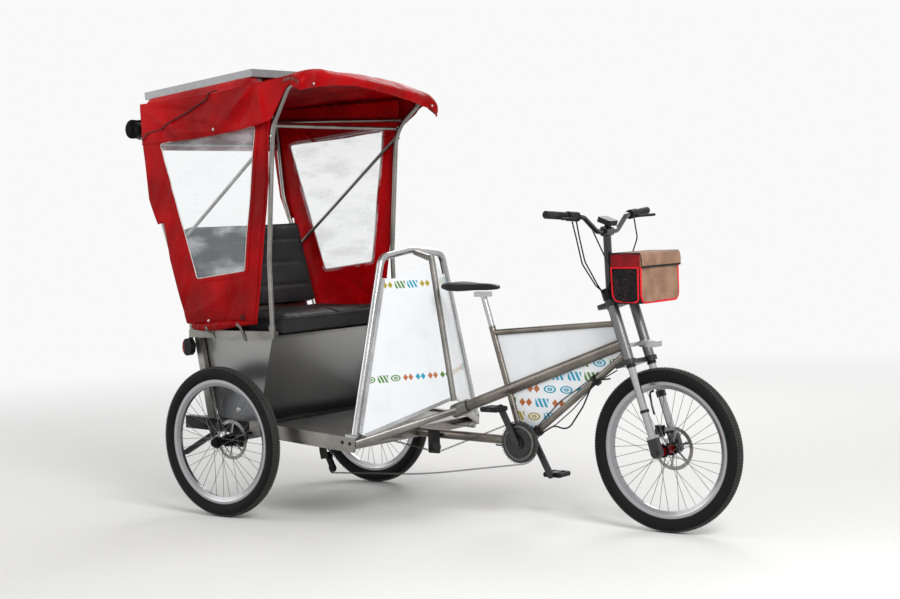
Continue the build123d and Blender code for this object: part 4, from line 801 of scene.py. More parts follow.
RIGHT_FOLDS = (
    (-0.50, 1.855, -0.19, 1.735, 0.034, 0.024),
    (-0.50, 1.835, -0.34, 1.715, 0.018, -0.012),
    (-0.48, 1.880, -0.22, 1.885, 0.018, 0.014),
    (-0.40, 1.862, -0.08, 1.825, 0.022, -0.011),
    (-0.47, 1.790, -0.26, 1.705, 0.014, -0.008),
    (-0.20, 1.835, 0.02, 1.765, 0.026, 0.012),
    (0.22, 1.935, 0.07, 1.80, 0.016, 0.018),
    (0.23, 1.925, 0.13, 1.77, 0.016, -0.012),
    (0.22, 1.930, -0.02, 1.745, 0.028, 0.013),
    (0.25, 1.920, 0.27, 1.79, 0.016, 0.011),
    (-0.04, 1.890, -0.16, 1.81, 0.020, -0.008),
    (-0.30, 1.740, -0.02, 1.737, 0.014, 0.008),
) + scattered_folds(
    11, 26, (-0.50, 1.72), (0.30, 1.88), -35, 28, (0.06, 0.16), (0.007, 0.014), (0.002, 0.005),
)
LEFT_FOLDS = scattered_folds(
    23, 18, (-0.50, 1.72), (0.30, 1.88), -30, 30, (0.12, 0.34), (0.014, 0.028), (0.005, 0.013)
)
CROWN_FOLDS = scattered_folds(
    5, 40, (-0.5, -0.45), (0.42, 0.45), 90, 25, (0.1, 0.4), (0.012, 0.03), (0.3, 1.0)
)
print("folds on the right flap", len(RIGHT_FOLDS))

# %% Roof sheet
def eased(value, low, high):
    """0 below low, 1 above high, smooth between."""
    share = min(1.0, max(0.0, (value - low) / (high - low)))
    return share * share * (3 - 2 * share)


def under_panel(x, y, z):
    """Lifts the sheet in a ridge along each side of the solar panel, up to its underside."""
    panel_low = 1.910 + (x + 0.590) * PANEL_SLOPE
    ridge = eased(-abs(y), -0.432, -0.378) * eased(abs(y), 0.305, 0.338) * eased(-x, -0.150, -0.090)
    return z + max(0.0, panel_low - z) * ridge


def crown_height(x, y):
    """Height of the crowned sheet: an arc over the bows, and straight at the front edge."""
    right_z, left_z, middle_z = blend_points(ROOF_SECTIONS, x)
    share = y / blend_points(ROOF_HALF, x)[0]
    arc = (right_z + left_z) / 2 + (left_z - right_z) / 2 * share
    arc += (middle_z - (right_z + left_z) / 2) * (1 - share ** 2)
    edge = blend_points(FRONT_EDGE, y)[0]
    reach = eased(x, 0.340, FRONT_X) if edge > arc else eased(x, BOW_FRONT, FRONT_X)
    turned_down = max(0.0, (x - FRONT_X + 0.012) / 0.012) ** 2 * 0.005
    return arc + (edge - arc) * reach - turned_down


def flap_point(x, z, share, hand, folds, out=0.0):
    """A point of a side flap, share of the way up from its edge: loose below, held above."""
    loose = math.sin(math.pi * min(1.0, 0.1 + (1 - share) * 0.9) * 0.5)
    push = fold_relief(x, z, folds) * loose
    return place(x, hand * (blend_points(ROOF_HALF, x)[0] - 0.001 + push - 0.004 * loose + out), z)


def roof_flap(x, hand):
    """One flap's part of a row, from its lower edge up."""
    edge_z = crown_height(x, hand * blend_points(ROOF_HALF, x)[0])
    low_z = blend_points(FLAP_EDGE, x)[0] if x < BOW_EDGE[0][0] else blend_points(BOW_EDGE, x)[hand > 0]
    folds = RIGHT_FOLDS if hand < 0 else LEFT_FOLDS
    shares = [step / FLAP_ROWS for step in range(FLAP_ROWS)]
    return [flap_point(x, low_z + (edge_z - low_z) * share, share, hand, folds) for share in shares]


def roof_row(x):
    """One row of the roof from the right flap's lower edge to the left one's."""
    half = blend_points(ROOF_HALF, x)[0]
    between_bows = math.sin(math.pi * (x - REAR_X) / BOW_GAP * 2) ** 2
    crown = []
    for step in range(CROWN_ROWS + 1):
        share = step / CROWN_ROWS
        y = -half + 2 * half * share
        edge = min(share, 1 - share) * 12
        sag = 0.006 * math.sin(math.pi * edge) if edge < 1 else 0.0
        sag += 0.006 * between_bows * min(1, edge)
        z = under_panel(x, y, crown_height(x, y) - sag * (x < 0.43))
        crown.append(place(x, y, z + 0.004 * fold_relief(x, y, CROWN_FOLDS)))
    return roof_flap(x, -1) + crown + roof_flap(x, 1)[::-1]


stations = [REAR_X + (FRONT_X - REAR_X) * number / LENGTH_ROWS for number in range(LENGTH_ROWS + 1)]
roof_rows = [roof_row(x) for x in stations]
roof_sheet = thicken(settle(skin(roof_rows), "roof_sheet", RED), CLOTH)
print("roof sheet", len(roof_sheet.data.polygons), "faces")

# %% [markdown]
# ## Front hem of the roof
# At the front the sheet turns down in a band. It is deepest at the corners and shallow in the middle,
# because the cloth is pulled up there, and its lower edge is rolled over a cord.

# %% Front hem
HEM_LOW = (
    (-0.498, 1.890), (-0.434, 1.902), (-0.264, 1.920), (-0.111, 1.921), (0.060, 1.901), (0.269, 1.867),
    (0.435, 1.831), (0.498, 1.796),
)
HEM_ROWS = 12
HEM_COLUMNS = 140


def hem_point(share, down):
    """A point of the hem: share across the vehicle, down its depth from 0 to 1."""
    half = ROOF_HALF[-1][1]
    y = -half + 2 * half * share
    z = crown_height(FRONT_X, y)
    depth = z - blend_points(HEM_LOW, y)[0]
    rolled = 0.005 * math.sqrt(min(1.0, down * 6))
    bulge = 0.007 * math.sin(math.pi * min(1.0, down * 1.1)) + 0.0025 * math.sin(y * 41 + down * 2)
    gather = 0.006 * math.exp(-((y + 0.40) / 0.03) ** 2) * down
    edge_round = 0.012 * (1 - min(1.0, min(share, 1 - share) * 30)) ** 2
    return place(FRONT_X + rolled + bulge * min(1.0, down * 4) - gather - edge_round, y, z - depth * down)


hem_rows = [
    [hem_point(step / HEM_COLUMNS, down / HEM_ROWS) for down in range(HEM_ROWS + 1)]
    for step in range(HEM_COLUMNS + 1)
]
hem_sheet = thicken(settle(skin(hem_rows), "front_hem", RED), CLOTH)
roof_edges = settle([sweep([row[-1] for row in hem_rows], 0.0042, 8)] + [
    sweep([row[first_row] for row in roof_rows[::2]], 0.0028, 8) for first_row in (0, -1)
], "roof_edges", RED)
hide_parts("canopy_roof")
print("front hem", len(hem_rows), "columns")

# %% [markdown]
# ## Canopy side walls
# Each side wall is one cloth with a window cut out of it. A grid of quads can't follow such a cut, so
# the outline, the cut and a field of inner points go to Blender's own Delaunay function, which joins
# them to triangles. The inner points can then be pushed in and out, as wind and slack do.

# %% Side walls
WALL_OUTLINE = [
    (-0.274, 0.863), (-0.369, 1.158), (-0.398, 1.332), (-0.438, 1.324), (-0.486, 1.440), (-0.518, 1.709),
    (-0.508, 1.880), (0.300, 1.884), (0.270, 1.712), (0.262, 1.506), (0.158, 0.868),
]
WINDOW = ((-0.407, 1.700), (0.200, 1.752), (0.102, 1.103), (-0.201, 1.067))
WINDOW_ROUND = 0.018
WALL_Y = 0.456
WALL_PITCH = 0.010
ROW_SHARE = 0.87
WALL_FOOT, FOOT_EASE = 0.866, 0.03


def rounded(corners, radius, steps=6):
    """A closed outline with each corner rounded."""
    corners = [Vector(corner) for corner in corners]
    points = []
    for number, corner in enumerate(corners):
        to_last = (corners[number - 1] - corner).normalized()
        to_next = (corners[(number + 1) % len(corners)] - corner).normalized()
        reach = radius / math.tan(to_last.angle(to_next) / 2)
        points += bent(corner + to_last * reach, corner, corner + to_next * reach, steps)
    return points


def spaced(outline, pitch):
    """A closed outline with points about one pitch apart."""
    points = []
    for one, two in loop_pairs(outline):
        one, two = Vector(one), Vector(two)
        count = max(1, round((two - one).length / pitch))
        points += [one.lerp(two, step / count) for step in range(count)]
    return points


def inside_outline(point, outline):
    """Whether a point is inside a closed outline."""
    crossings = 0
    for one, two in loop_pairs(outline):
        if (one[1] > point[1]) != (two[1] > point[1]):
            at = one[0] + (point[1] - one[1]) / (two[1] - one[1]) * (two[0] - one[0])
            crossings += at > point[0]
    return crossings % 2 == 1


def cut_sheet(outline, hole, pitch):
    """Points and triangles of a flat sheet with one hole."""
    outer, inner = spaced(outline, pitch), spaced(hole, pitch)
    rim = outer + inner
    points = list(rim)
    edges = []
    for first, count in ((0, len(outer)), (len(outer), len(inner))):
        edges += [(first + step, first + (step + 1) % count) for step in range(count)]

    def in_cloth(point):
        return inside_outline(point, outer) and not inside_outline(point, inner)

    xs, zs = zip(*outer)
    clear = (pitch * 0.55) ** 2
    for row in range(int((max(zs) - min(zs)) / (pitch * ROW_SHARE)) + 1):
        z = min(zs) + row * pitch * ROW_SHARE
        shift = (row % 2) * pitch / 2
        for column in range(int((max(xs) - min(xs)) / pitch) + 1):
            point = Vector((min(xs) + shift + column * pitch, z))
            if in_cloth(point) and min((point - near).length_squared for near in rim) > clear:
                points.append(point)
    made, unused, faces = delaunay_2d_cdt(points, edges, [], 0, 1e-6)[:3]
    middles = [sum((made[corner] for corner in face), Vector((0, 0))) / len(face) for face in faces]
    return made, [face for face, middle in zip(faces, middles) if in_cloth(middle)]


window_edge = rounded(WINDOW, WINDOW_ROUND)
wall_points, wall_faces = cut_sheet(WALL_OUTLINE, window_edge, WALL_PITCH)
WALL_FOLDS = scattered_folds(
    31, 34, (-0.50, 0.88), (0.28, 1.80), 80, 22, (0.15, 0.45), (0.012, 0.03), (0.001, 0.0035)
) + (
    (-0.27, 0.88, 0.10, 1.06, 0.030, 0.006), (-0.24, 1.05, -0.30, 0.90, 0.018, -0.004),
    (0.15, 0.90, -0.12, 1.04, 0.026, 0.005), (-0.02, 0.88, 0.06, 1.05, 0.02, -0.004),
)


def on_wall(x, z, hand, out=0.0):
    """A point on a wall. The cloth stands out most in its open fields and not at all at its foot."""
    rim = min(abs(z - WALL_FOOT), FOOT_EASE) / FOOT_EASE
    push = (fold_relief(x, z, WALL_FOLDS) + 0.0018 * math.sin(z * 16 + x * 5)) * rim
    return place(x, hand * (WALL_Y + push + out), z)


walls = []
for hand, side_name in ((-1, "right"), (1, "left")):
    build = bmesh.new()
    made = [build.verts.new(on_wall(x, z, hand)) for x, z in wall_points]
    for face in wall_faces:
        build.faces.new([made[corner] for corner in face])
    walls.append(thicken(settle(build, "side_wall_" + side_name, RED, 60), CLOTH))
    print("side wall", side_name, len(walls[-1].data.polygons), "faces")

# %% [markdown]
# ## Binding, piping and the rolled lower hem
# A binding strip is sewn round the window and down the wall's front edge, and the spare lower cloth is
# rolled up on the seat rail. Each is a tube or a flattened band swept along a line.

# %% Trim of the side walls
def offset_outline(outline, distance):
    """A closed outline moved outwards by a distance."""
    moved = []
    for number, point in enumerate(outline):
        ahead = (outline[(number + 1) % len(outline)] - outline[number - 1]).normalized()
        moved.append(point + Vector((ahead.y, -ahead.x)) * distance)
    return moved


FRONT_LINE = ((0.158, 0.868), (0.210, 1.187), (0.262, 1.506), (0.270, 1.712), (0.2955, 1.858))
FRONT_STEPS = (20, 20, 12, 8)
HEM_ROLL = (
    (-0.226, 0.842, 0.0120), (-0.205, 0.834, 0.0160), (-0.150, 0.830, 0.0185), (-0.067, 0.834, 0.0210),
    (-0.020, 0.842, 0.0195), (0.030, 0.850, 0.0150), (0.082, 0.857, 0.0105), (0.120, 0.862, 0.0060),
    (0.159, 0.866, 0.0025),
)
ROLL_STEPS = 72
TIED_AT = ((-0.190, 0.0016), (-0.030, 0.0012))
window_line = spaced(window_edge, 0.012)
ring_area = sum(one.x * two.y - two.x * one.y for one, two in loop_pairs(window_line))
turning = 1 if ring_area > 0 else -1
front_line = [Vector(FRONT_LINE[0])]
for one, two, count in zip(FRONT_LINE, FRONT_LINE[1:], FRONT_STEPS):
    front_line += [Vector(one).lerp(Vector(two), step / count) for step in range(1, count + 1)]
trims, pipes = [], []
for hand in (-1, 1):
    band, pipe = [
        [on_wall(x, z, hand, out) for x, z in offset_outline(window_line, off * turning)]
        for off, out in ((0.010, 0.0022), (-0.003, 0.0005))
    ]
    edge, seam = [[on_wall(x, z, hand, out) for x, z in front_line] for out in (0.001, 0.0024)]
    trims.append(sweep(band, 0.0105, 10, True, flat=0.16, up=(0, 1, 0)))
    trims.append(sweep(edge, 0.006, 8, flat=0.5, up=(0, 1, 0)))
    trims.append(sweep([point - Vector((0.012, 0, 0)) for point in seam], 0.002, 6))
    pipes.append(sweep(pipe, 0.0022, 8, True))
wall_binding = settle(trims, "wall_binding", RED)
pale_piping = Finish("pale_piping", Coat_Weight=0.2)
grime = pale_piping.noise(40, 4)
pale_piping.feed(
    Base_Color=pale_piping.mix(grime, (0.42, 0.4, 0.38, 1), (0.66, 0.65, 0.62, 1)),
    Roughness=pale_piping.span(grime, 0.2, 0.8, 0.35, 0.55),
)
window_piping = settle(pipes, "window_piping", (pale_piping, *RED[1:]))

rolls = []
for hand in (-1, 1):
    for wraps, squeeze, out in ((0, 1.0, 0.0), (1, 0.62, 0.0055)):
        line, sizes = [], []
        for step in range(ROLL_STEPS + 1):
            x = HEM_ROLL[0][0] + (HEM_ROLL[-1][0] - HEM_ROLL[0][0]) * step / ROLL_STEPS
            low, size = blend_points(HEM_ROLL, x)
            pull = sum(depth * math.exp(-((x - at) / 0.012) ** 2) for at, depth in TIED_AT)
            size = size * squeeze + 0.0008 * math.sin(x * 95 + wraps * 2) - pull
            line.append(place(x, hand * (WALL_Y + 0.001 + size * 0.7 + out), low + size + wraps * 0.009))
            sizes.append(max(0.0015, size))
        rolls.append(sweep(line, sizes, 16))
wall_rolls = settle(rolls, "wall_rolls", RED, 70)
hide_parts("canopy_sides")
for sheet in (walls[0], roof_sheet, hem_sheet):
    print(sheet.name, "area", round(sum(face.area for face in sheet.data.polygons), 4), "m2")

# %% [markdown]
# ## Cushions
# A cushion is a skin sewn tight over foam. Its shape is neither a box nor a ball: the cloth swells
# between its seams and is held in along them. The cloth solver finds that swell: a closed block is
# remeshed into even squares, blown up a little with gravity off, and no point may move further than
# a cap. Seams are pressed in afterwards and the welts are laid along the finished surface.

# %% Swelling a block
VOXEL = 0.0085
PRESSURE = 4.0
FRAMES = 20
BLOCK_EASE = 0.022
CUSHION_CORNER = 0.035
WELT_LIFT, WELT_RADIUS = 0.0012, 0.0036


def rounded_block(low, high):
    """A box with eased edges between two corners."""
    build = bmesh.new()
    bmesh.ops.create_cube(build, size=1.0)
    low, high = Vector(low), Vector(high)
    for vertex in build.verts:
        vertex.co = [low[axis] + (vertex.co[axis] + 0.5) * (high[axis] - low[axis]) for axis in range(3)]
    edges = list(build.edges)
    bmesh.ops.bevel(build, geom=edges, offset=BLOCK_EASE, segments=3, affect="EDGES", profile=0.6)
    return build


def evaluated(piece):
    """The mesh that an object's modifiers make."""
    return bpy.data.meshes.new_from_object(piece.evaluated_get(bpy.context.evaluated_depsgraph_get()))


def points_of(mesh):
    points = np.empty(len(mesh.vertices) * 3)
    mesh.vertices.foreach_get("co", points)
    return points.reshape(-1, 3)


def swollen(build, name, cap):
    """The block as a blown-up closed cloth: a plain mesh with its result applied."""
    block = linked(name, to_mesh(build, name))
    remesh = block.modifiers.new("even", "REMESH")
    remesh.mode = "VOXEL"
    remesh.voxel_size = VOXEL
    even = evaluated(block)
    block.modifiers.clear()
    block.data = even
    start = points_of(even)
    cloth = block.modifiers.new("cloth", "CLOTH").settings
    cloth.effector_weights.gravity = 0
    cloth.use_pressure = True
    cloth.uniform_pressure_force = PRESSURE
    cloth.quality = 4
    for number in range(1, FRAMES + 1):
        scene.frame_set(number)
    shift = points_of(evaluated(block)) - start
    block.modifiers.clear()
    scene.frame_set(1)
    length = np.linalg.norm(shift, axis=1, keepdims=True)
    shift *= np.minimum(1.0, cap / np.maximum(length, 1e-9))
    even.vertices.foreach_set("co", (start + shift).ravel())
    bpy.data.objects.remove(block)
    print(name, "points", len(even.vertices))
    return even


def press_seams(mesh, measure, width, depth, middle, only=None):
    """Draws the surface in towards a middle point along a seam, where measure of a point is near 0."""
    for vertex in mesh.vertices:
        if only and not only(vertex.co):
            continue
        near = math.exp(-(measure(vertex.co) / width) ** 2)
        if near > 0.01:
            vertex.co += (middle(vertex.co) - vertex.co).normalized() * depth * near


def subdivided(piece):
    smooth = piece.modifiers.new("smooth", "SUBSURF")
    smooth.levels = smooth.render_levels = 1
    return piece


def smoothed(mesh, name):
    """One subdivision, applied."""
    block = subdivided(linked(name, mesh))
    done = evaluated(block)
    bpy.data.objects.remove(block)
    return done


def welt(mesh, path, up=(0, 0, 1)):
    """A rolled welt along a closed path, laid on the nearest places of a surface."""
    build = bmesh.new()
    build.from_mesh(mesh)
    tree = BVHTree.FromBMesh(build)
    build.free()
    found = [tree.find_nearest(point) for point in path]
    line = [near + normal * WELT_LIFT for near, normal, *unused in found]
    return sweep(line, WELT_RADIUS, 8, True, up=up)


def rectangle_path(half_x, half_y):
    """A closed rounded rectangle about the middle, as (x, y) pairs."""
    corners = ((-half_x, -half_y), (half_x, -half_y), (half_x, half_y), (-half_x, half_y))
    return spaced(rounded(corners, CUSHION_CORNER), 0.01)


print("cushion helpers are ready")

# %% [markdown]
# ## Seat cushion and seat back
# The bench is black vinyl. The cushion is boxed: a top panel, a band round its side and a welt of
# rolled vinyl where they meet, with one seam across the middle that parts the two places. The back
# is the same, leaned back, so it is made upright and turned before it is settled.

# %% Seat cushion
SEAT = (black_vinyl, "chassis", "seat_black")
SEAT_HALF = 0.399
CUSHION_LOW, CUSHION_HIGH = place(-0.208, -SEAT_HALF, 0.8135), place(0.268, SEAT_HALF, 0.898)
CUSHION_FOOT = 0.8131
CUSHION_HALF_X = 0.238
CHANNEL_END = 0.36
SEAT_SEAM, SEAT_CHANNEL = (0.007, 0.012), (0.008, 0.006)
SEAT_WELTS = (0.888, 0.824)
DENT_X, DENT_Y, DENT_HALF_X, DENT_HALF_Y, DENT = 0.02, 0.2, 0.15, 0.13, 0.009
seat_mesh = swollen(rounded_block(CUSHION_LOW, CUSHION_HIGH), "seat_cushion_cover", 0.011)
seat_middle = (CUSHION_LOW + CUSHION_HIGH) / 2


def to_seat_middle(point):
    return Vector((point.x, point.y, seat_middle.z))


press_seams(seat_mesh, lambda point: point.y, *SEAT_SEAM, to_seat_middle, lambda point: point.z > 0.83)
for channel in (-0.10, 0.02, 0.14):
    press_seams(
        seat_mesh, lambda point: point.x - AXLE_X - channel, *SEAT_CHANNEL, to_seat_middle,
        lambda point: point.z > 0.885 and abs(point.y) < CHANNEL_END,
    )
for vertex in seat_mesh.vertices:
    vertex.co.z = max(vertex.co.z, CUSHION_FOOT)
    for hand in (-1, 1):
        across = (vertex.co.y - hand * DENT_Y) / DENT_HALF_Y
        along = (vertex.co.x - AXLE_X - DENT_X) / DENT_HALF_X
        if vertex.co.z > 0.86:
            vertex.co.z -= DENT * math.exp(-across ** 2 - along ** 2)
seat_mesh = smoothed(seat_mesh, "seat_cushion")
seat_cover = settle(seat_mesh, "seat_cushion_cover", SEAT, 80)
outline = rectangle_path(CUSHION_HALF_X, SEAT_HALF)
settle([
    welt(seat_mesh, [Vector((seat_middle.x + x, y, z)) for x, y in outline]) for z in SEAT_WELTS
], "seat_welts", SEAT)
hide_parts("seat_cushion")
print("seat cushion", len(seat_mesh.polygons), "faces")

# %% Seat back
BACK_LOW, BACK_TOP = place(-0.200, 0, 0.915), place(-0.305, 0, 1.322)
BACK_HALF = (0.036, 0.394, (BACK_TOP - BACK_LOW).length / 2)
BACK_EASE = 0.006
BACK_SEAM, BACK_CHANNEL = (0.007, 0.010), (0.008, 0.007)
back_up = (BACK_TOP - BACK_LOW).normalized()
back_ahead = Vector((back_up.z, 0, -back_up.x))
back_middle = sum((Vector(corner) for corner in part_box("seat_back")), Vector()) / 2
back_corner = Vector((BACK_HALF[0] - BACK_EASE, BACK_HALF[1], BACK_HALF[2] - BACK_EASE))
back_mesh = swollen(rounded_block(-back_corner, back_corner), "seat_back_cover", 0.009)


def to_back_middle(point):
    return Vector((0, point.y, point.z))


press_seams(back_mesh, lambda point: point.y, *BACK_SEAM, to_back_middle)
for channel in (-0.115, 0.0, 0.115):
    press_seams(
        back_mesh, lambda point: point.z - channel, *BACK_CHANNEL, to_back_middle,
        lambda point: point.x > 0.01 and abs(point.y) < CHANNEL_END,
    )
back_mesh = smoothed(back_mesh, "seat_back")
outline = rectangle_path(BACK_HALF[2] - BACK_EASE, BACK_HALF[1])
welt_mesh = to_mesh(joined([
    welt(back_mesh, [Vector((across, y, z)) for z, y in outline], up=(1, 0, 0))
    for across in (BACK_HALF[0] - 0.008, 0.008 - BACK_HALF[0])
]), "back_welts")
turned = Matrix((back_ahead, (0, 1, 0), back_up)).transposed().to_4x4()
lean = Matrix.Translation(back_middle) @ turned
back_mesh.transform(lean)
welt_mesh.transform(lean)
back_cover = settle(back_mesh, "seat_back_cover", SEAT, 80)
settle(welt_mesh, "back_welts", SEAT)
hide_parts("seat_back")
print("seat back", len(back_mesh.polygons), "faces")

# %% [markdown]
# ## Saddle
# A saddle is a hull in rows from tail to nose: each row is an arch, wide and flat at the tail, narrow
# and high-sided at the nose. A shallow trough runs down its middle.

# %% Saddle
SADDLE_LOW = Vector(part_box("saddle")[0])
SADDLE_ROWS = (
    (0.000, 0.048, 0.034, 0.020), (0.020, 0.074, 0.042, 0.012), (0.055, 0.090, 0.044, 0.004),
    (0.095, 0.088, 0.042, 0.002), (0.130, 0.068, 0.039, 0.004), (0.165, 0.045, 0.037, 0.006),
    (0.205, 0.032, 0.037, 0.006), (0.245, 0.025, 0.035, 0.007), (0.270, 0.019, 0.031, 0.010),
    (0.279, 0.009, 0.025, 0.014),
)
SADDLE_STEPS = 56
SADDLE_ARCH = 28
rows = []
for step in range(SADDLE_STEPS + 1):
    x = SADDLE_ROWS[-1][0] * step / SADDLE_STEPS
    half, crown, skirt = blend_points(SADDLE_ROWS, x)
    row = []
    for across, rise in circle(SADDLE_ARCH):
        flat_top = abs(rise) ** 0.62 * (1 if rise > 0 else -0.55)
        y = half * abs(across) ** 0.72 * (1 if across > 0 else -1)
        trough = 0.004 * math.exp(-(y / 0.010) ** 2) if rise > 0 else 0.0
        z = skirt + (crown - skirt) * (0.35 + 0.65 * flat_top) - trough
        row.append(Vector((SADDLE_LOW.x + 0.0005 + x, y, SADDLE_LOW.z + max(z, 0.0005))))
    rows.append(row)
saddle_cover = subdivided(settle(capped(skin(rows, wrap_points=True)), "saddle_cover", SEAT, 60))
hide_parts("saddle")
print("saddle", len(saddle_cover.data.polygons), "faces")

# %% [markdown]
# ## Handlebar bag
# The bag is a sewn shell: one closed skin of rings from its rear face to its front face, each ring a
# box with round lower corners. Its sides belly out a little and its bottom sags. The lid, the welts
# and the mesh pockets are laid on it.

# %% Bag finishes
def woven(name, dark, bright, threads, depth):
    """Coarse cloth: two sets of threads and a slow soiling."""
    finish = Finish(name, Specular_IOR_Level=0.25)
    weave = ((finish.x + finish.y) * threads).sine() * (finish.z * threads).sine()
    soil = finish.noise(16, 4)
    finish.feed(
        Base_Color=finish.mix(finish.step(soil + weave * 0.12, 0.3, 0.7), dark, bright),
        Roughness=finish.span(soil, 0.3, 0.7, 0.62, 0.85),
    )
    finish.bump(weave, depth, 0.5)
    return finish


bag_tan = woven("bag_tan", (0.24, 0.135, 0.085, 1), (0.37, 0.22, 0.145, 1), 3400, 0.0005)
bag_red = woven("bag_red", (0.13, 0.001, 0.003, 1), (0.26, 0.002, 0.006, 1), 3400, 0.0005)
bag_black = woven("bag_black", (0.006, 0.006, 0.007, 1), (0.016, 0.014, 0.014, 1), 3000, 0.0005)
welt_red = vinyl("welt_red", (0.5, 0.006, 0.012, 1), (0.72, 0.02, 0.03, 1), 0.001)
mesh_black = Finish("mesh_black", Roughness=0.6, Specular_IOR_Level=0.2)
holes = (mesh_black.x * 1900).sine() * (mesh_black.z * 1900).sine()
slack = mesh_black.step(mesh_black.noise(24, 3), 0.42, 0.66)
mesh_black.feed(
    Base_Color=mesh_black.mix(slack, (0.005, 0.005, 0.006, 1), (0.03, 0.014, 0.015, 1)),
    Alpha=1 - mesh_black.step(abs(holes), 0.25, 0.4) * 0.45,
)
mesh_black.bump(holes, 0.0006, 0.6)
print("bag finishes ready")

# %% Bag shell
TAN, BLACK_CLOTH, WELT_RED, MESH = [
    (finish, "steering", "bag_tan") for finish in (bag_tan, bag_black, welt_red, mesh_black)
]
BAG_LOW, BAG_HIGH = [Vector(corner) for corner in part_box("bar_bag")]
BAG_DEEP, BAG_TALL = BAG_HIGH.x - BAG_LOW.x, BAG_HIGH.z - BAG_LOW.z
BAG_HALF = (BAG_HIGH.y - BAG_LOW.y) / 2
BAG_CORNERS = 0.036
CORNER_STEPS = 10
LID_DROP = 0.056


def bag_outline(grow=0.0):
    """The bag seen from the front: square above, round below."""
    half, low, corner = BAG_HALF + grow, BAG_LOW.z - grow, BAG_CORNERS + grow
    side_half = [(half, BAG_HIGH.z)]
    for step in range(CORNER_STEPS, -1, -1):
        turn = math.pi / 2 * step / CORNER_STEPS
        y = half - corner + corner * math.cos(turn)
        side_half.insert(1, (y, low + corner - corner * math.sin(turn)))
    return spaced([(-y, z) for y, z in side_half] + side_half[::-1], 0.006)


outline = bag_outline()
middle = Vector((0, (BAG_LOW.z + BAG_HIGH.z) / 2))
bag_rings = [(0.0, scale, 0.0) for scale in (0.02, 0.35, 0.7, 0.93)] + [(0.003, 0.985, 0.0)]
bag_rings += [
    (share * BAG_DEEP, 1.0, 0.006 * math.sin(math.pi * share))
    for share in (0.06, 0.2, 0.35, 0.5, 0.65, 0.8, 0.94)
]
bag_rings += [(BAG_DEEP - 0.003, 0.99, 0.0)]
bag_rings += [
    (BAG_DEEP + 0.004 * (1 - scale), scale, 0.0) for scale in (0.96, 0.88, 0.75, 0.6, 0.4, 0.2, 0.02)
]
rows = []
for x, scale, push in bag_rings:
    row = []
    for point in outline:
        off = point - middle
        y = off.x * scale + math.copysign(push, off.x) * (abs(off.x) > BAG_HALF * 0.96)
        sag = 0.004 * math.sin(math.pi * x / BAG_DEEP) if off.y < -BAG_TALL * 0.48 else 0.0
        z = middle.y + off.y * scale - sag
        wave = 0.0014 * math.sin(y * 26 + x * 90) * math.sin(z * 31)
        row.append(Vector((BAG_LOW.x + x + wave * (scale < 0.97), y, z)))
    rows.append(row)
bag_shell = settle(capped(skin(rows, wrap_points=True)), "bag_shell", TAN, 50)
bag_shell.data.materials.append(bag_black.material)
bag_shell.data.materials.append(bag_red.material)
for face in bag_shell.data.polygons:
    if abs(face.normal.y) > 0.6 and face.center.z > BAG_HIGH.z - LID_DROP - 0.002:
        face.material_index = 2
    elif face.normal.x < 0.5:
        face.material_index = 1
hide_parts("bar_bag")
print("bag shell", len(bag_shell.data.polygons), "faces")

# %% Bag pockets and welts
POCKET_STEPS = 16
low, high = BAG_LOW.z + 0.004, BAG_HIGH.z - LID_DROP
front_ring = [Vector((BAG_HIGH.x - 0.0015, y, z)) for y, z in bag_outline(-0.0035) if z < high + 0.004]
side_parts = [sweep(front_ring, 0.0046, 8, flat=0.8, up=(1, 0, 0))]
pockets = []
edge = [
    (BAG_LOW.x + 0.008, high), (BAG_LOW.x + 0.012, low + 0.03), (BAG_LOW.x + 0.028, low + 0.006),
    (BAG_HIGH.x - 0.012, low + 0.002), (BAG_HIGH.x - 0.010, high),
]
for hand in (-1, 1):
    side_y = hand * (BAG_HALF + 0.006)
    rows = []
    for step in range(POCKET_STEPS + 1):
        share = step / POCKET_STEPS
        back_x = blend_points([(0, edge[2][0]), (0.3, edge[1][0]), (1, edge[0][0])], share)[0]
        front_x = edge[3][0] + 0.001
        z = low + 0.004 + (high - low - 0.004) * share
        fullness = 0.25 + 0.75 * math.sin(math.pi * min(1, share * 0.9 + 0.08))
        row = []
        for over in range(POCKET_STEPS + 1):
            across = over / POCKET_STEPS
            belly = 0.010 * math.sin(math.pi * across) * fullness
            belly += 0.0012 * math.sin(across * 19 + share * 11)
            row.append(Vector((back_x + (front_x - back_x) * across, side_y + hand * (belly - 0.003), z)))
        rows.append(row)
    pockets.append(skin(rows))
    path = [Vector((x, side_y - hand * 0.002, z)) for x, z in rounded_path(edge)]
    side_parts.append(sweep(path, 0.0034, 8, flat=0.7, up=(0, 1, 0)))
    brim = [point + Vector((0, hand * 0.001, 0)) for point in rows[-1]]
    side_parts.append(sweep(brim, 0.0030, 8, flat=0.8, up=(0, 1, 0)))
settle(side_parts, "bag_welts", WELT_RED)
thicken(settle(pockets, "bag_pockets", MESH), 0.0012)
print("welts on the bag", len(side_parts))

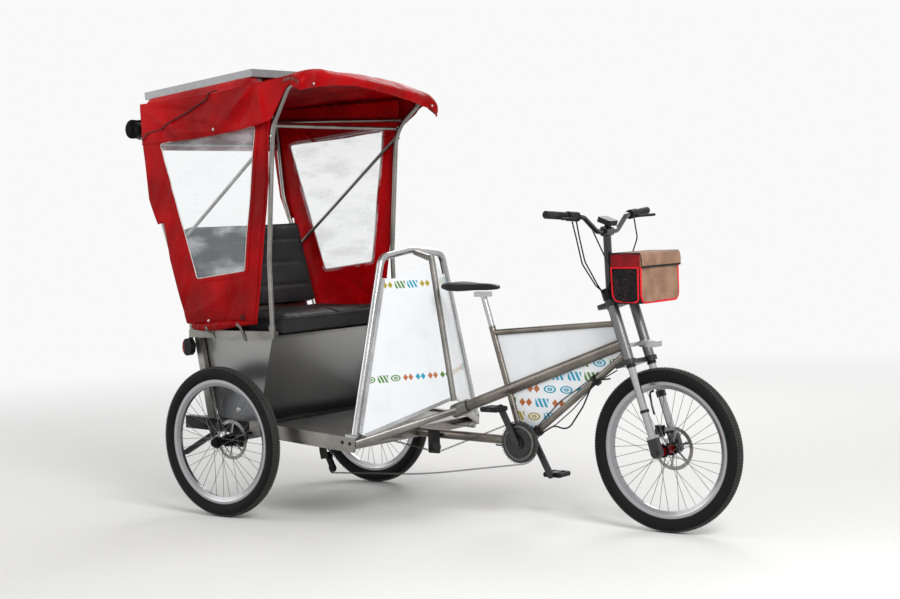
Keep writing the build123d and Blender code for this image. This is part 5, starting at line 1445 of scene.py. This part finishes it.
# %% Bag lid
LID_COLUMNS, LID_DEEP, LID_DOWN = 40, 14, 12
LID_Z = BAG_HIGH.z + 0.0008
lid_rows = []
for step in range(LID_COLUMNS + 1):
    y = -BAG_HALF - 0.002 + (2 * BAG_HALF + 0.004) * step / LID_COLUMNS
    edge = min(1.0, min(step, LID_COLUMNS - step) / 5)
    hump = (0.004 * math.sin(math.pi * step / LID_COLUMNS) + 0.0015 * math.sin(step * 1.1)) * edge
    row = []
    for number in range(LID_DEEP + 1):
        share = number / LID_DEEP
        x = BAG_LOW.x + 0.006 + (BAG_DEEP - 0.006) * share
        row.append(Vector((x, y, LID_Z + hump * math.sin(math.pi * share))))
    for number in range(1, LID_DOWN + 1):
        share = number / LID_DOWN
        bow = 0.0055 * math.sin(math.pi * share * 0.8) + 0.004
        row.append(Vector((BAG_HIGH.x + bow, y, LID_Z - LID_DROP * share)))
    lid_rows.append(row)
bag_lid = thicken(settle(skin(lid_rows), "bag_lid", TAN, 60), CLOTH)
lid_front = [row[-1] + Vector((0.001, 0, 0.002)) for row in lid_rows]
bag_trim = settle(
    [sweep(lid_front, 0.0045, 8, flat=0.5, up=(1, 0, 0)), sweep([row[0] for row in lid_rows], 0.0035, 8)]
    + [sweep(lid_rows[column][:LID_DEEP + 1], 0.0034, 8) for column in (0, -1)], "bag_trim", BLACK_CLOTH
)
print("bag lid", len(bag_lid.data.polygons), "faces")

# %% [markdown]
# ## Cable of the solar panel
# The cable runs from the panel over the roof's edge and down the flap, where the folds lift it. It is a
# smooth spline whose points read the flap's own folds, so the cable lies on the cloth everywhere.

# %% Solar cable
def on_flap(x, z, out):
    """A point that lies on the right flap."""
    low_z = blend_points(FLAP_EDGE, x)[0]
    share = (z - low_z) / (crown_height(x, -blend_points(ROOF_HALF, x)[0]) - low_z)
    return flap_point(x, z, share, -1, RIGHT_FOLDS, out)


CABLE_START = ((-0.044, -0.438, 0.0075), (-0.056, -0.472, 0.0085))
CABLE_RUN = (
    (-0.066, 1.884), (-0.105, 1.869), (-0.150, 1.851), (-0.190, 1.836), (-0.230, 1.821), (-0.270, 1.806),
    (-0.310, 1.789), (-0.345, 1.775), (-0.385, 1.762), (-0.430, 1.757), (-0.470, 1.751), (-0.498, 1.738),
    (-0.511, 1.716),
)
cable_points = [place(x, y, crown_height(x, y) + lift) for x, y, lift in CABLE_START]
cable_points += [on_flap(-0.062, 1.900, 0.0085)] + [on_flap(x, z, 0.0062) for x, z in CABLE_RUN]
cable_line = bpy.data.curves.new("solar_cable_run", "CURVE")
cable_line.dimensions = "3D"
cable_line.bevel_depth = 0.0028
cable_line.use_fill_caps = True
spline = cable_line.splines.new("NURBS")
spline.points.add(len(cable_points) - 1)
for point, at in zip(spline.points, cable_points):
    point.co = (*at, 1)
spline.order_u = 3
spline.use_endpoint_u = True
cable_line.materials.append(black_plastic.material)
solar_run = linked("solar_cable_run", cable_line)
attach(solar_run, "chassis")
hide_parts("solar_cable")
print("solar cable points", len(cable_points))

# %% [markdown]
# ## Rear flap and rolled curtain
# Behind the seat the canopy closes with a short red flap. The curtain that can be let down over the
# opening is rolled up, black side out, and hangs in two red straps. A roll is a spiral: one row of
# points that winds inwards, carried along the vehicle's width.

# %% Rear flap
REAR_HALF, REAR_TOP, REAR_DROP = 0.454, 1.8745, 0.199
REAR_COLUMNS, REAR_ROWS = 90, 24
rear_folds = scattered_folds(
    41, 22, (-0.42, 1.69), (0.42, 1.86), 88, 16, (0.06, 0.17), (0.010, 0.022), (0.002, 0.006)
)
rows = []
for step in range(REAR_COLUMNS + 1):
    y = -REAR_HALF + 2 * REAR_HALF * step / REAR_COLUMNS
    held = min(1.0, (REAR_HALF - abs(y)) / 0.05)
    row = []
    for down in range(REAR_ROWS + 1):
        share = down / REAR_ROWS
        z = REAR_TOP - REAR_DROP * share
        push = fold_relief(y, z, rear_folds) * held * math.sin(math.pi * (0.08 + 0.86 * share))
        row.append(place(-0.5135 - 0.0035 * held * math.sin(math.pi * share) - push * 0.7, y, z))
    rows.append(row)
rear_cloth = thicken(settle(skin(rows), "rear_cloth", RED), 0.0018)
edge_cord = settle(sweep([row[-1] for row in rows], 0.0030, 8), "rear_cloth_hem", RED)
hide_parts("rear_flap")
print("rear flap", len(rows), "columns")

# %% Rolled curtain
CURTAIN = place(-0.615, 0, 1.775)
CURTAIN_HALF = 0.428
CURTAIN_COLUMNS = 72
ROLL_OUTER, ROLL_INNER, ROLL_TURNS, SPIRAL_STEPS = 0.0465, 0.010, 4.5, 180
STRAP_Y, STRAP_RADIUS = 0.36, 0.0475
PINCH, PINCH_WIDTH = 0.10, 0.022
spiral = []
for step in range(SPIRAL_STEPS + 1):
    share = step / SPIRAL_STEPS
    turn = math.radians(70) + 2 * math.pi * ROLL_TURNS * share
    radius = ROLL_OUTER + (ROLL_INNER - ROLL_OUTER) * share
    spiral.append((radius * math.cos(turn), radius * math.sin(turn)))
rows = []
for step in range(CURTAIN_COLUMNS + 1):
    y = -CURTAIN_HALF + 2 * CURTAIN_HALF * step / CURTAIN_COLUMNS
    tied = sum(PINCH * math.exp(-((y - hand * STRAP_Y) / PINCH_WIDTH) ** 2) for hand in (-1, 1))
    row = []
    for number, (across, rise) in enumerate(spiral):
        wave = 1 - tied + 0.018 * math.sin(y * 37 + number * 0.13)
        wave += 0.010 * math.sin(y * 83 + number * 0.31)
        row.append(CURTAIN + Vector((across * wave, y, rise * wave)))
    rows.append(row)
roll_mesh = to_mesh(skin(rows), "curtain_roll", outwards=False)
curtain_roll = thicken(settle(roll_mesh, "curtain_roll", SEAT, 60), 0.0014)
straps = []
for hand in (-1, 1):
    path, back = [[place(x, hand * STRAP_Y, z) for x, z in points] for points in (
        ((-0.5155, 1.868), (-0.5200, 1.845), (-0.5480, 1.825)),
        ((-0.5450, 1.778), (-0.5210, 1.815), (-0.5185, 1.846)),
    )]
    for degrees in range(40, 341, 12):
        turn = math.radians(degrees)
        at = Vector((STRAP_RADIUS * math.cos(turn), hand * STRAP_Y, STRAP_RADIUS * math.sin(turn)))
        path.append(CURTAIN + at)
    straps.append(sweep(path + back, 0.0013, 8, flat=11.0, up=(0, 1, 0)))
settle(straps, "curtain_straps", RED)
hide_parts("rolled_curtain")

# %% [markdown]
# ## Tyres with their tread
# A tyre is a ring whose section swells from the rim and ends in a tread of small blocks. The ring is a
# skin of sections round the axle. The blocks repeat hundreds of times on circles, so Geometry Nodes
# sets them: one tree holds five circles of tapered blocks, and its inputs set their number and size.

# %% Geometry Nodes helpers
UPRIGHT = (math.radians(90), 0, 0)
OUTWARDS = (0, math.radians(90), 0)


class Tree:
    """A geometry node tree: its inputs by name, and the nodes that come back in every tree."""

    def __init__(self, name, **inputs):
        self.group = bpy.data.node_groups.new(name, "GeometryNodeTree")
        self.group.interface.new_socket("Geometry", in_out="OUTPUT", socket_type="NodeSocketGeometry")
        self.node = Wire(self.group).node
        self.keys = {}
        for label, value in inputs.items():
            kind = {int: "NodeSocketInt", float: "NodeSocketFloat"}.get(type(value), "NodeSocketObject")
            socket = self.group.interface.new_socket(label, in_out="INPUT", socket_type=kind)
            if value is not None:
                socket.default_value = value
            self.keys[label] = socket.identifier
        start = self.group.nodes.new("NodeGroupInput")
        self.given = {label: Wire(self.group, start.outputs[label]) for label in inputs}

    def moved(self, geometry, **how):
        """The geometry after a Translation, Rotation or Scale."""
        return self.node("GeometryNodeTransform", inputs={"Geometry": geometry, **how})

    def cone(self, sides, top, bottom, depth):
        sizes = {"Vertices": sides, "Radius Top": top, "Radius Bottom": bottom, "Depth": depth}
        return self.node("GeometryNodeMeshCone", {"fill_type": "NGON"}, sizes)

    def facing(self, axis, way, pivot="AUTO"):
        """The rotation that turns an axis to a direction."""
        settings = {"axis": axis, "pivot_axis": pivot}
        return self.node("FunctionNodeAlignRotationToVector", settings, {"Vector": way})

    def ring(self, count, radius):
        """Points on a circle, and the rotation that faces each of them outwards."""
        points = self.node("GeometryNodeMeshCircle", inputs={"Vertices": count, "Radius": radius})
        return points, self.facing("X", self.node("GeometryNodeInputPosition"), "Z")

    def set_on(self, points, instance, **how):
        """One instance on each point."""
        inputs = {"Points": points, "Instance": instance, **how}
        return self.node("GeometryNodeInstanceOnPoints", inputs=inputs)

    def join(self, parts):
        join = self.group.nodes.new("GeometryNodeJoinGeometry")
        for part in parts:
            self.group.links.new(part.socket, join.inputs[0])
        return Wire(self.group, join.outputs[0])

    def finish(self, geometry, finish):
        """Ends the tree in Realize Instances and Set Material."""
        real = self.node("GeometryNodeRealizeInstances", inputs={0: geometry})
        dressed = self.node(
            "GeometryNodeSetMaterial", inputs={"Geometry": real, "Material": finish.material}
        )
        self.group.links.new(dressed.socket, self.group.nodes.new("NodeGroupOutput").inputs[0])

    def grown(self, name, **values):
        """The mesh that the tree makes for these input values."""
        carrier = linked(name, bpy.data.meshes.new(name))
        grow = carrier.modifiers.new("grow", "NODES")
        grow.node_group = self.group
        for label, value in values.items():
            grow[self.keys[label]] = value
        bpy.context.view_layer.update()
        mesh = evaluated(carrier)
        bpy.data.objects.remove(carrier)
        return mesh


print("tree helper is ready")

# %% Tread tree
TREAD_BLOCKS = 168
TREAD_ROWS = ((0.0, 0.0, 0.0, 0), (0.0098, 0.0012, 14.0, 1), (0.0196, 0.0052, 36.0, 0))
rubber_tread = coated(
    "rubber_tread", (0.034, 0.0345, 0.033, 1), 0.5, 0.75, 260, 0.0005,
    dust=(0.16, 0.155, 0.14, 1), Specular_IOR_Level=0.3,
)
tread_tree = Tree("tread", Count=TREAD_BLOCKS, Radius=0.3367, Length=0.0074, Width=0.0072, Height=0.0032)
given = tread_tree.given
block = tread_tree.moved(tread_tree.cone(4, 0.56, 0.72, given["Height"]), Rotation=(0, 0, math.radians(45)))
size = tread_tree.node("ShaderNodeCombineXYZ", inputs={0: given["Width"], 1: given["Length"], 2: 1.0})
block = tread_tree.moved(tread_tree.moved(block, Scale=size), Rotation=OUTWARDS)
rings = []
for off, drop, lean, shifted in TREAD_ROWS:
    for hand in ((1,) if off == 0 else (-1, 1)):
        points, way = tread_tree.ring(given["Count"], given["Radius"] - drop)
        leaned = tread_tree.node(
            "FunctionNodeRotateRotation", {"rotation_space": "LOCAL"},
            {0: way, 1: (0, -hand * math.radians(lean), 0)},
        )
        blocks = tread_tree.set_on(points, block, Rotation=leaned)
        turn = shifted * math.pi / TREAD_BLOCKS
        rings.append(tread_tree.moved(blocks, Translation=(0, 0, hand * off), Rotation=(0, 0, turn)))
tread_tree.finish(tread_tree.moved(tread_tree.join(rings), Rotation=UPRIGHT), rubber_tread)
print("tread rows", len(rings))

# %% Tyres
TYRE_STEPS = 160
TYRE_HALF_SECTION = [
    (-0.0150, 0.2826), (-0.0185, 0.2845), (-0.0250, 0.2915), (-0.0292, 0.3010), (-0.0304, 0.3110),
    (-0.0286, 0.3205), (-0.0238, 0.3283), (-0.0160, 0.3335), (-0.0080, 0.3361), (0.0, 0.3368),
]
tyre_section = TYRE_HALF_SECTION + [(-across, radius) for across, radius in TYRE_HALF_SECTION[-2::-1]]
for name, end in (("front", "front"), ("rear_right", "rear"), ("rear_left", "rear")):
    body, node = name.replace(end, end + "_wheel"), name.replace(end, end + "_tyre")
    low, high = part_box(node)
    centre = Vector(((low[0] + high[0]) / 2, (low[1] + high[1]) / 2, WHEEL_RADIUS))
    rows = [
        [centre + Vector((radius * side, across, radius * rise)) for across, radius in tyre_section]
        for side, rise in circle(TYRE_STEPS)
    ]
    look = (tyre_finishes[end], body, "tyre_black")
    carcass = settle(skin(rows, wrap_rows=True, wrap_points=True), name + "_carcass", look, 180)
    tread_mesh = tread_tree.grown(name + "_tread")
    tread_mesh.transform(Matrix.Translation(centre))
    settle(tread_mesh, name + "_tread", (rubber_tread, body, "tyre_black"), 0)
    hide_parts(node)
    print(name, "tyre", len(carcass.data.polygons), "faces, tread", len(tread_mesh.polygons))

# %% [markdown]
# ## Chain
# A bicycle chain is about two hundred links on one closed line. The line is worked out from the wheels
# that the chain bends round, as circles joined by straight runs, and goes into Geometry Nodes as a
# mesh of edges. The tree cuts it into half-inch steps and sets an outer or an inner link by turns.

# %% Chain line
CHAIN_Y = -0.048
CHAIN_PITCH = 0.0127
CRANK_X, CRANK_Z, CHAIN_WHEEL = 1.283, 0.338, 0.0923
IDLER_X = 0.231
SAG_RADIUS, SAG_ARM, SAG_FOOT = 3.0, 2.978, 0.194
SAG_SLOPE = math.radians(5.6)
LINE_STEP = 0.004
CHAIN_STOPS = [
    (CRANK_X, CRANK_Z, CHAIN_WHEEL, 1), (0.840, 0.298, 0.0243, -1), (0.190, 0.330, 0.0433, 1),
    (0.204, 0.222, 0.0223, -1), (IDLER_X, 0.165, 0.0223, 1),
    ((CRANK_X + IDLER_X) / 2 - math.sin(SAG_SLOPE) * SAG_ARM, SAG_FOOT + math.cos(SAG_SLOPE) * SAG_ARM,
     SAG_RADIUS, 1),
]
runs = []
for (x, z, radius, way), (next_x, next_z, next_radius, next_way) in loop_pairs(CHAIN_STOPS):
    across, rise = next_x - x, next_z - z
    leaving, arriving = way * radius, next_way * next_radius
    lean = math.atan2(rise, across) + math.acos((arriving - leaving) / math.hypot(across, rise))
    side, up = math.cos(lean), math.sin(lean)
    runs.append((
        (x - leaving * side, z - leaving * up), (next_x - arriving * side, next_z - arriving * up),
    ))
chain_points = []
for number, (x, z, radius, way) in enumerate(CHAIN_STOPS):
    arrive, leave = runs[number - 1][1], runs[number][0]
    first = math.atan2(arrive[1] - z, arrive[0] - x)
    swept = (math.atan2(leave[1] - z, leave[0] - x) - first) * way % (2 * math.pi)
    count = max(8, int(swept * radius / LINE_STEP))
    for step in range(count + 1):
        turn = first + way * swept * step / count
        chain_points.append(place(x + radius * math.cos(turn), CHAIN_Y, z + radius * math.sin(turn)))
chain_length = sum((two - one).length for one, two in loop_pairs(chain_points))
LINKS = 2 * round(chain_length / CHAIN_PITCH / 2)
print("chain", round(chain_length, 3), "m,", LINKS, "links")

# %% Chain links
PLATE = 0.0009
line_mesh = bpy.data.meshes.new("chain_line")
edges = list(loop_pairs(list(range(len(chain_points)))))
line_mesh.from_pydata(chain_points, edges, [])
chain_line = linked("chain_line", line_mesh)
chain_steel = brushed_metal("chain_steel", (0.035, 0.032, 0.03, 1), (0.16, 0.15, 0.14, 1), 0.3, 0.55)
chain_tree = Tree("chain", Line=None, Links=LINKS, Pitch=chain_length / LINKS)
given = chain_tree.given
line = chain_tree.node("GeometryNodeObjectInfo", inputs={"Object": given["Line"]}, output=4)
curve = chain_tree.node("GeometryNodeMeshToCurve", inputs={"Mesh": line})
steps = chain_tree.node(
    "GeometryNodeCurveToPoints", {"mode": "COUNT"}, {"Curve": curve, "Count": given["Links"]}
)
turns = Wire(chain_tree.group, steps.socket.node.outputs["Rotation"])
odd = chain_tree.node("GeometryNodeInputIndex") % 2


def link(tree, plate_out):
    """Two plates, each a bar between two round ends, and the pin or bush between them."""
    def round_part(sides, radius, depth):
        sizes = {"Vertices": sides, "Radius": radius, "Depth": depth}
        return tree.node("GeometryNodeMeshCylinder", inputs=sizes)

    parts = []
    for hand in (-1, 1):
        parts += [(round_part(10, 0.0040, PLATE), hand * plate_out, end) for end in (-0.5, 0.5)]
        bar = tree.node("GeometryNodeMeshCube", inputs={"Size": (0.0052, CHAIN_PITCH, PLATE)})
        parts.append((bar, hand * plate_out, 0))
    parts.append((round_part(8, 0.0030, 2 * plate_out), 0, 0.5))
    placed = []
    for part, side, along in parts:
        offset = tree.node("ShaderNodeCombineXYZ", inputs={1: tree.given["Pitch"] * along, 2: side})
        placed.append(tree.moved(part, Translation=offset))
    return tree.moved(tree.join(placed), Rotation=UPRIGHT)


chain_tree.finish(chain_tree.join([
    chain_tree.set_on(steps, link(chain_tree, plate_out), Selection=chosen, Rotation=turns)
    for plate_out, chosen in ((0.0027, odd), (0.0018, 1 - odd))
]), chain_steel)
chain_mesh = chain_tree.grown("chain_links", Line=chain_line)
bpy.data.objects.remove(chain_line)
chain_links = settle(chain_mesh, "chain_links", (chain_steel, "chassis", "steel_dark"), 0)
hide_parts("drive_chain")
print("chain faces", len(chain_mesh.polygons), "size", np.ptp(points_of(chain_mesh), axis=0).round(3))

# %% [markdown]
# ## Chain wheel
# The chain wheel wears a guard that keeps trousers off the chain: a black dished disc, five sunk slots
# and a worn rim. It is laid out in rings and rays, so a slot is the points that are pushed in. Teeth
# stand between the links, one to every half inch, set by a small tree.

# %% Chain guard
CRANK = place(CRANK_X, 0, CRANK_Z)
GUARD_Y = -0.0545
GUARD_RINGS = (
    (0.0125, 0), (0.030, 0), (0.0500, -0.0022), (0.0525, -0.0022), (0.0590, 0), (0.0600, 0), (0.0610, 0),
    (0.0665, 0), (0.0675, 0), (0.0745, 0.0004), (0.0765, 0.0016),
)
SLOT_RINGS, SLOT_RAYS, SLOT_SUNK = (6, 7), range(3, 28), 0.0022
RAYS, SLOTS = 180, 5
WORN_RADIUS, TOOTH_RADIUS = 0.0862, 0.0905
GUARD = (Finish("guard_black"), "crank", "gear_alloy")
finish = GUARD[0]
from_crank = finish.node("ShaderNodeVectorMath", {"operation": "SUBTRACT"}, {0: finish.place, 1: CRANK})
from_crank = finish.node("ShaderNodeVectorMath", {"operation": "LENGTH"}, {0: from_crank}, output=1)
rim_ring = (from_crank > WORN_RADIUS) * (finish.y < CHAIN_Y - 0.0045)
scuffs = finish.noise(70, 4)
rim_colour = finish.mix(scuffs, (0.06, 0.058, 0.056, 1), (0.2, 0.195, 0.19, 1))
finish.feed(
    Base_Color=finish.mix(rim_ring, (0.009, 0.009, 0.0095, 1), rim_colour),
    Metallic=rim_ring * 0.7, Roughness=0.28 + scuffs * 0.2,
)
rows = []
for ring, (radius, dish) in enumerate(GUARD_RINGS):
    row = []
    for ray, (across, rise) in enumerate(circle(RAYS, radius)):
        in_slot = ring in SLOT_RINGS and ray % (RAYS // SLOTS) in SLOT_RAYS
        row.append(CRANK + Vector((across, GUARD_Y + dish + SLOT_SUNK * in_slot, rise)))
    rows.append(row)
guard = thicken(settle(skin(rows, wrap_points=True), "chain_guard", GUARD, 30), 0.0014)

teeth = round(2 * math.pi * CHAIN_WHEEL / (chain_length / LINKS))
tooth_tree = Tree("teeth", Count=teeth, Radius=TOOTH_RADIUS)
tooth = tooth_tree.moved(tooth_tree.cone(6, 0.0010, 0.0034, 0.0058), Scale=(0.34, 1, 1))
points, way = tooth_tree.ring(*tooth_tree.given.values())
set_teeth = tooth_tree.set_on(points, tooth_tree.moved(tooth, Rotation=OUTWARDS), Rotation=way)
tooth_tree.finish(tooth_tree.moved(set_teeth, Rotation=UPRIGHT), gear_alloy)
tooth_mesh = tooth_tree.grown("chain_teeth")
tooth_mesh.transform(Matrix.Translation(CRANK + Vector((0, CHAIN_Y, 0))))
settle(tooth_mesh, "chain_teeth", (gear_alloy, "crank", "gear_alloy"), 0)
print("guard faces", len(guard.data.polygons), "teeth", teeth)

# %% [markdown]
# ## Bolts, rivets and snaps
# Every fastener is one shape set on many points. A small mesh of points carries two attributes: which
# way each fastener faces and how big it is. One tree sets a domed head with a washer on each point.

# %% Fastener tree
HEAD_LAYERS = ((1.0, 0.92, 0.16, 0.0), (0.70, 0.62, 0.30, 0.15), (0.62, 0.34, 0.16, 0.44))
bolt_metal = brushed_metal("bolt_metal", (0.4, 0.4, 0.39, 1), (0.66, 0.66, 0.65, 1), 0.2, 0.35)
fastener_tree = Tree("fasteners", Points=None, Sides=12)
given = fastener_tree.given
points = fastener_tree.node("GeometryNodeObjectInfo", inputs={"Object": given["Points"]}, output=4)
facing, size = [
    fastener_tree.node("GeometryNodeInputNamedAttribute", {"data_type": kind}, {"Name": name})
    for name, kind in (("facing", "FLOAT_VECTOR"), ("size", "FLOAT"))
]
head = fastener_tree.join([
    fastener_tree.moved(fastener_tree.cone(given["Sides"], top, bottom, depth), Translation=(0, 0, lift))
    for bottom, top, depth, lift in HEAD_LAYERS
])
aimed = fastener_tree.facing("Z", facing)
fastener_tree.finish(fastener_tree.set_on(points, head, Rotation=aimed, Scale=size), bolt_metal)


def fasteners(name, look, spots):
    """Heads at spots (place, facing, radius)."""
    places, ways, sizes = zip(*spots)
    mesh = bpy.data.meshes.new(name + "_points")
    mesh.from_pydata(places, [], [])
    facing = mesh.attributes.new("facing", "FLOAT_VECTOR", "POINT")
    facing.data.foreach_set("vector", [part for way in ways for part in Vector(way).normalized()])
    mesh.attributes.new("size", "FLOAT", "POINT").data.foreach_set("value", sizes)
    carrier = linked(name + "_points", mesh)
    settle(fastener_tree.grown(name, Points=carrier), name, look, 0)
    bpy.data.objects.remove(carrier)
    print(name, len(spots), "heads")


# %% Fasteners
BEAM_BOLTS = ((0.640, 0.3600), (0.681, 0.3555))
HEM_SNAPS = ((-0.415, 1.916), (0.440, 1.842))
DISC_BOLTS, DISC_BOLT_RADIUS = 6, 0.022
RAIL = (black_coat, "chassis", "rail_black")
box_low, box_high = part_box("seat_box")
fasteners("chassis_bolts", (bolt_metal, "chassis", "frame_metal"), [
    (place(-0.026, side_y + hand * 0.0005, 0.467), (0, hand, 0), 0.012)
    for hand, side_y in ((-1, box_low[1]), (1, box_high[1]))
])
fasteners("beam_bolts", RAIL, [
    (place(x, hand * 0.4642, z), (0, hand, 0), 0.0085) for hand in (-1, 1) for x, z in BEAM_BOLTS
])
snaps = []
for hand in (-1, 1):
    snaps.append((place(-0.124, hand * (WALL_Y + 0.0135), 0.880), (0, hand, 0.2), 0.0062))
    snaps.append((place(0.290, hand * (WALL_Y + 0.004), 1.700), (0, hand, 0), 0.0055))
snaps.append((on_flap(-0.036, 1.746, 0.0012), (0, -1, 0), 0.0062))
snaps += [(place(FRONT_X + 0.0115, y, z), (1, 0, 0), 0.0068) for y, z in HEM_SNAPS]
fasteners("cloth_snaps", (bolt_metal, "chassis", "strip_metal"), snaps)
eyelets = []
for hand in (-1, 1):
    middle = place(0.082, hand * (WALL_Y + 0.006), 0.895)
    loop = [middle + Vector((across, hand * 0.001, rise)) for across, rise in circle(24, 0.011)]
    eyelets.append(sweep(loop, 0.0022, 8, True, up=(0, 1, 0)))
settle(eyelets, "wall_eyelets", RAIL)
for end, side_name, hand in (("front", "", -1), ("rear", "_right", 1), ("rear", "_left", -1)):
    low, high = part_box(end + "_disc" + side_name)
    centre = (Vector(low) + Vector(high)) / 2
    face_y = (low[1] if hand < 0 else high[1]) + hand * 0.0002
    look = (bolt_metal, end + "_wheel" + side_name, "disc_steel")
    fasteners(end + "_disc" + side_name + "_bolts", look, [
        (Vector((centre.x + across, face_y, centre.z + rise)), (0, hand, 0), 0.0046)
        for across, rise in circle(DISC_BOLTS, DISC_BOLT_RADIUS, math.radians(15))
    ])

# %% [markdown]
# ## Ties, straps and lacing
# Webbing ties hold the rolled lower hem to the seat rail, and a thin cord laces the front hem to the
# flap over the bow's corner. Webbing is a flattened tube with a weave, and cord a round one. A ribbed
# rubber strip closes the slit between the seat box and the deck.

# %% Ties, lacing and heel strip
webbing = woven("webbing_grey", (0.1, 0.096, 0.082, 1), (0.24, 0.235, 0.2, 1), 2600, 0.0006)
WEBBING = (webbing, "chassis", "frame_metal")
LACE_STEPS = 12
LACE_START, LACE_LENGTH, LACE_DROPS = 0.405, 0.092, (0.022, 0.008)
STRIP_X, STRIP_HALF, STRIP_RIBS, STRIP_COLUMNS = 0.0975, 0.430, 26, 40
STRIP_Z, STRIP_SLOPE, RIB_PITCH, RIB_HEIGHT = 0.4172, 0.045, 0.003, 0.0006
ties = []
for hand in (-1, 1):
    for x, lean in ((-0.122, 0.020), (0.060, 0.032)):
        low, size = blend_points(HEM_ROLL, x)
        out = WALL_Y + 0.001 + size * 1.75
        path = [place(x + lean * share, hand * y, z) for share, y, z in (
            (0, out + 0.001, low + size * 1.15), (0.1, out + 0.002, low + size * 0.6),
            (0.3, out - size * 0.5, low + 0.001), (0.6, 0.4625, 0.824), (1, 0.4618, 0.797),
            (1.3, 0.4600, 0.790),
        )]
        ties.append(sweep(rounded_path(path, 0.006), 0.0075, 10, flat=0.2, up=(0, hand, 0.01)))
settle(ties, "hem_ties", WEBBING)
rows = []
for rib in range(STRIP_RIBS):
    x = STRIP_X + RIB_PITCH * rib
    z = STRIP_Z - (x - STRIP_X) * STRIP_SLOPE + RIB_HEIGHT * (rib % 2)
    rows.append([
        place(x, -STRIP_HALF + 2 * STRIP_HALF * step / STRIP_COLUMNS, z)
        for step in range(STRIP_COLUMNS + 1)
    ])
thicken(settle(skin(rows), "heel_strip", (rubber_black, *RAIL[1:])), 0.0012)
lace_path = []
for step in range(LACE_STEPS + 1):
    x = LACE_START + LACE_LENGTH * step / LACE_STEPS
    half = blend_points(ROOF_HALF, x)[0]
    lace_path.append(place(x, -(half + 0.0012), crown_height(x, -half) - LACE_DROPS[step % 2]))
settle(sweep(lace_path, 0.0016, 6), "hem_lacing", WEBBING)
print("ties", len(ties), "lacing points", len(lace_path))

# %% [markdown]
# ## Small parts on the fork
# A clamp ring sits on each polished leg and a seal above it, and the brake hose runs down from the left
# one. Each is a short tube swept along the leg's own direction.

# %% Fork trim
LEG_HALF, LEG_RADIUS = 0.084, 0.016
FORK_RINGS = (
    (-1, 0.1740, 0.006, 0.0030), (1, 0.2320, 0.013, 0.0045), (-1, 0.366, 0.006, 0.0035),
    (1, 0.366, 0.006, 0.0035),
)
HOSE = ((1.886, 0.066, 0.573), (1.875, 0.052, 0.568), (1.884, 0.049, 0.520), (1.896, 0.050, 0.476))
fork_trim = []
for hand, at_height, half_long, extra in FORK_RINGS:
    leg = on_steer(LEG_FORE, hand * LEG_HALF, at_height)
    ends = [leg + STEER_UP * (half_long * side) for side in (-1, 1)]
    fork_trim.append(sweep(ends, LEG_RADIUS + extra, 24))
fork_trim.append(sweep(rounded_path([place(*point) for point in HOSE], 0.01), 0.0045, 10))
settle(fork_trim, "fork_trim", (black_plastic, "steering", "plastic_black"))
print("fork trim parts", len(fork_trim))
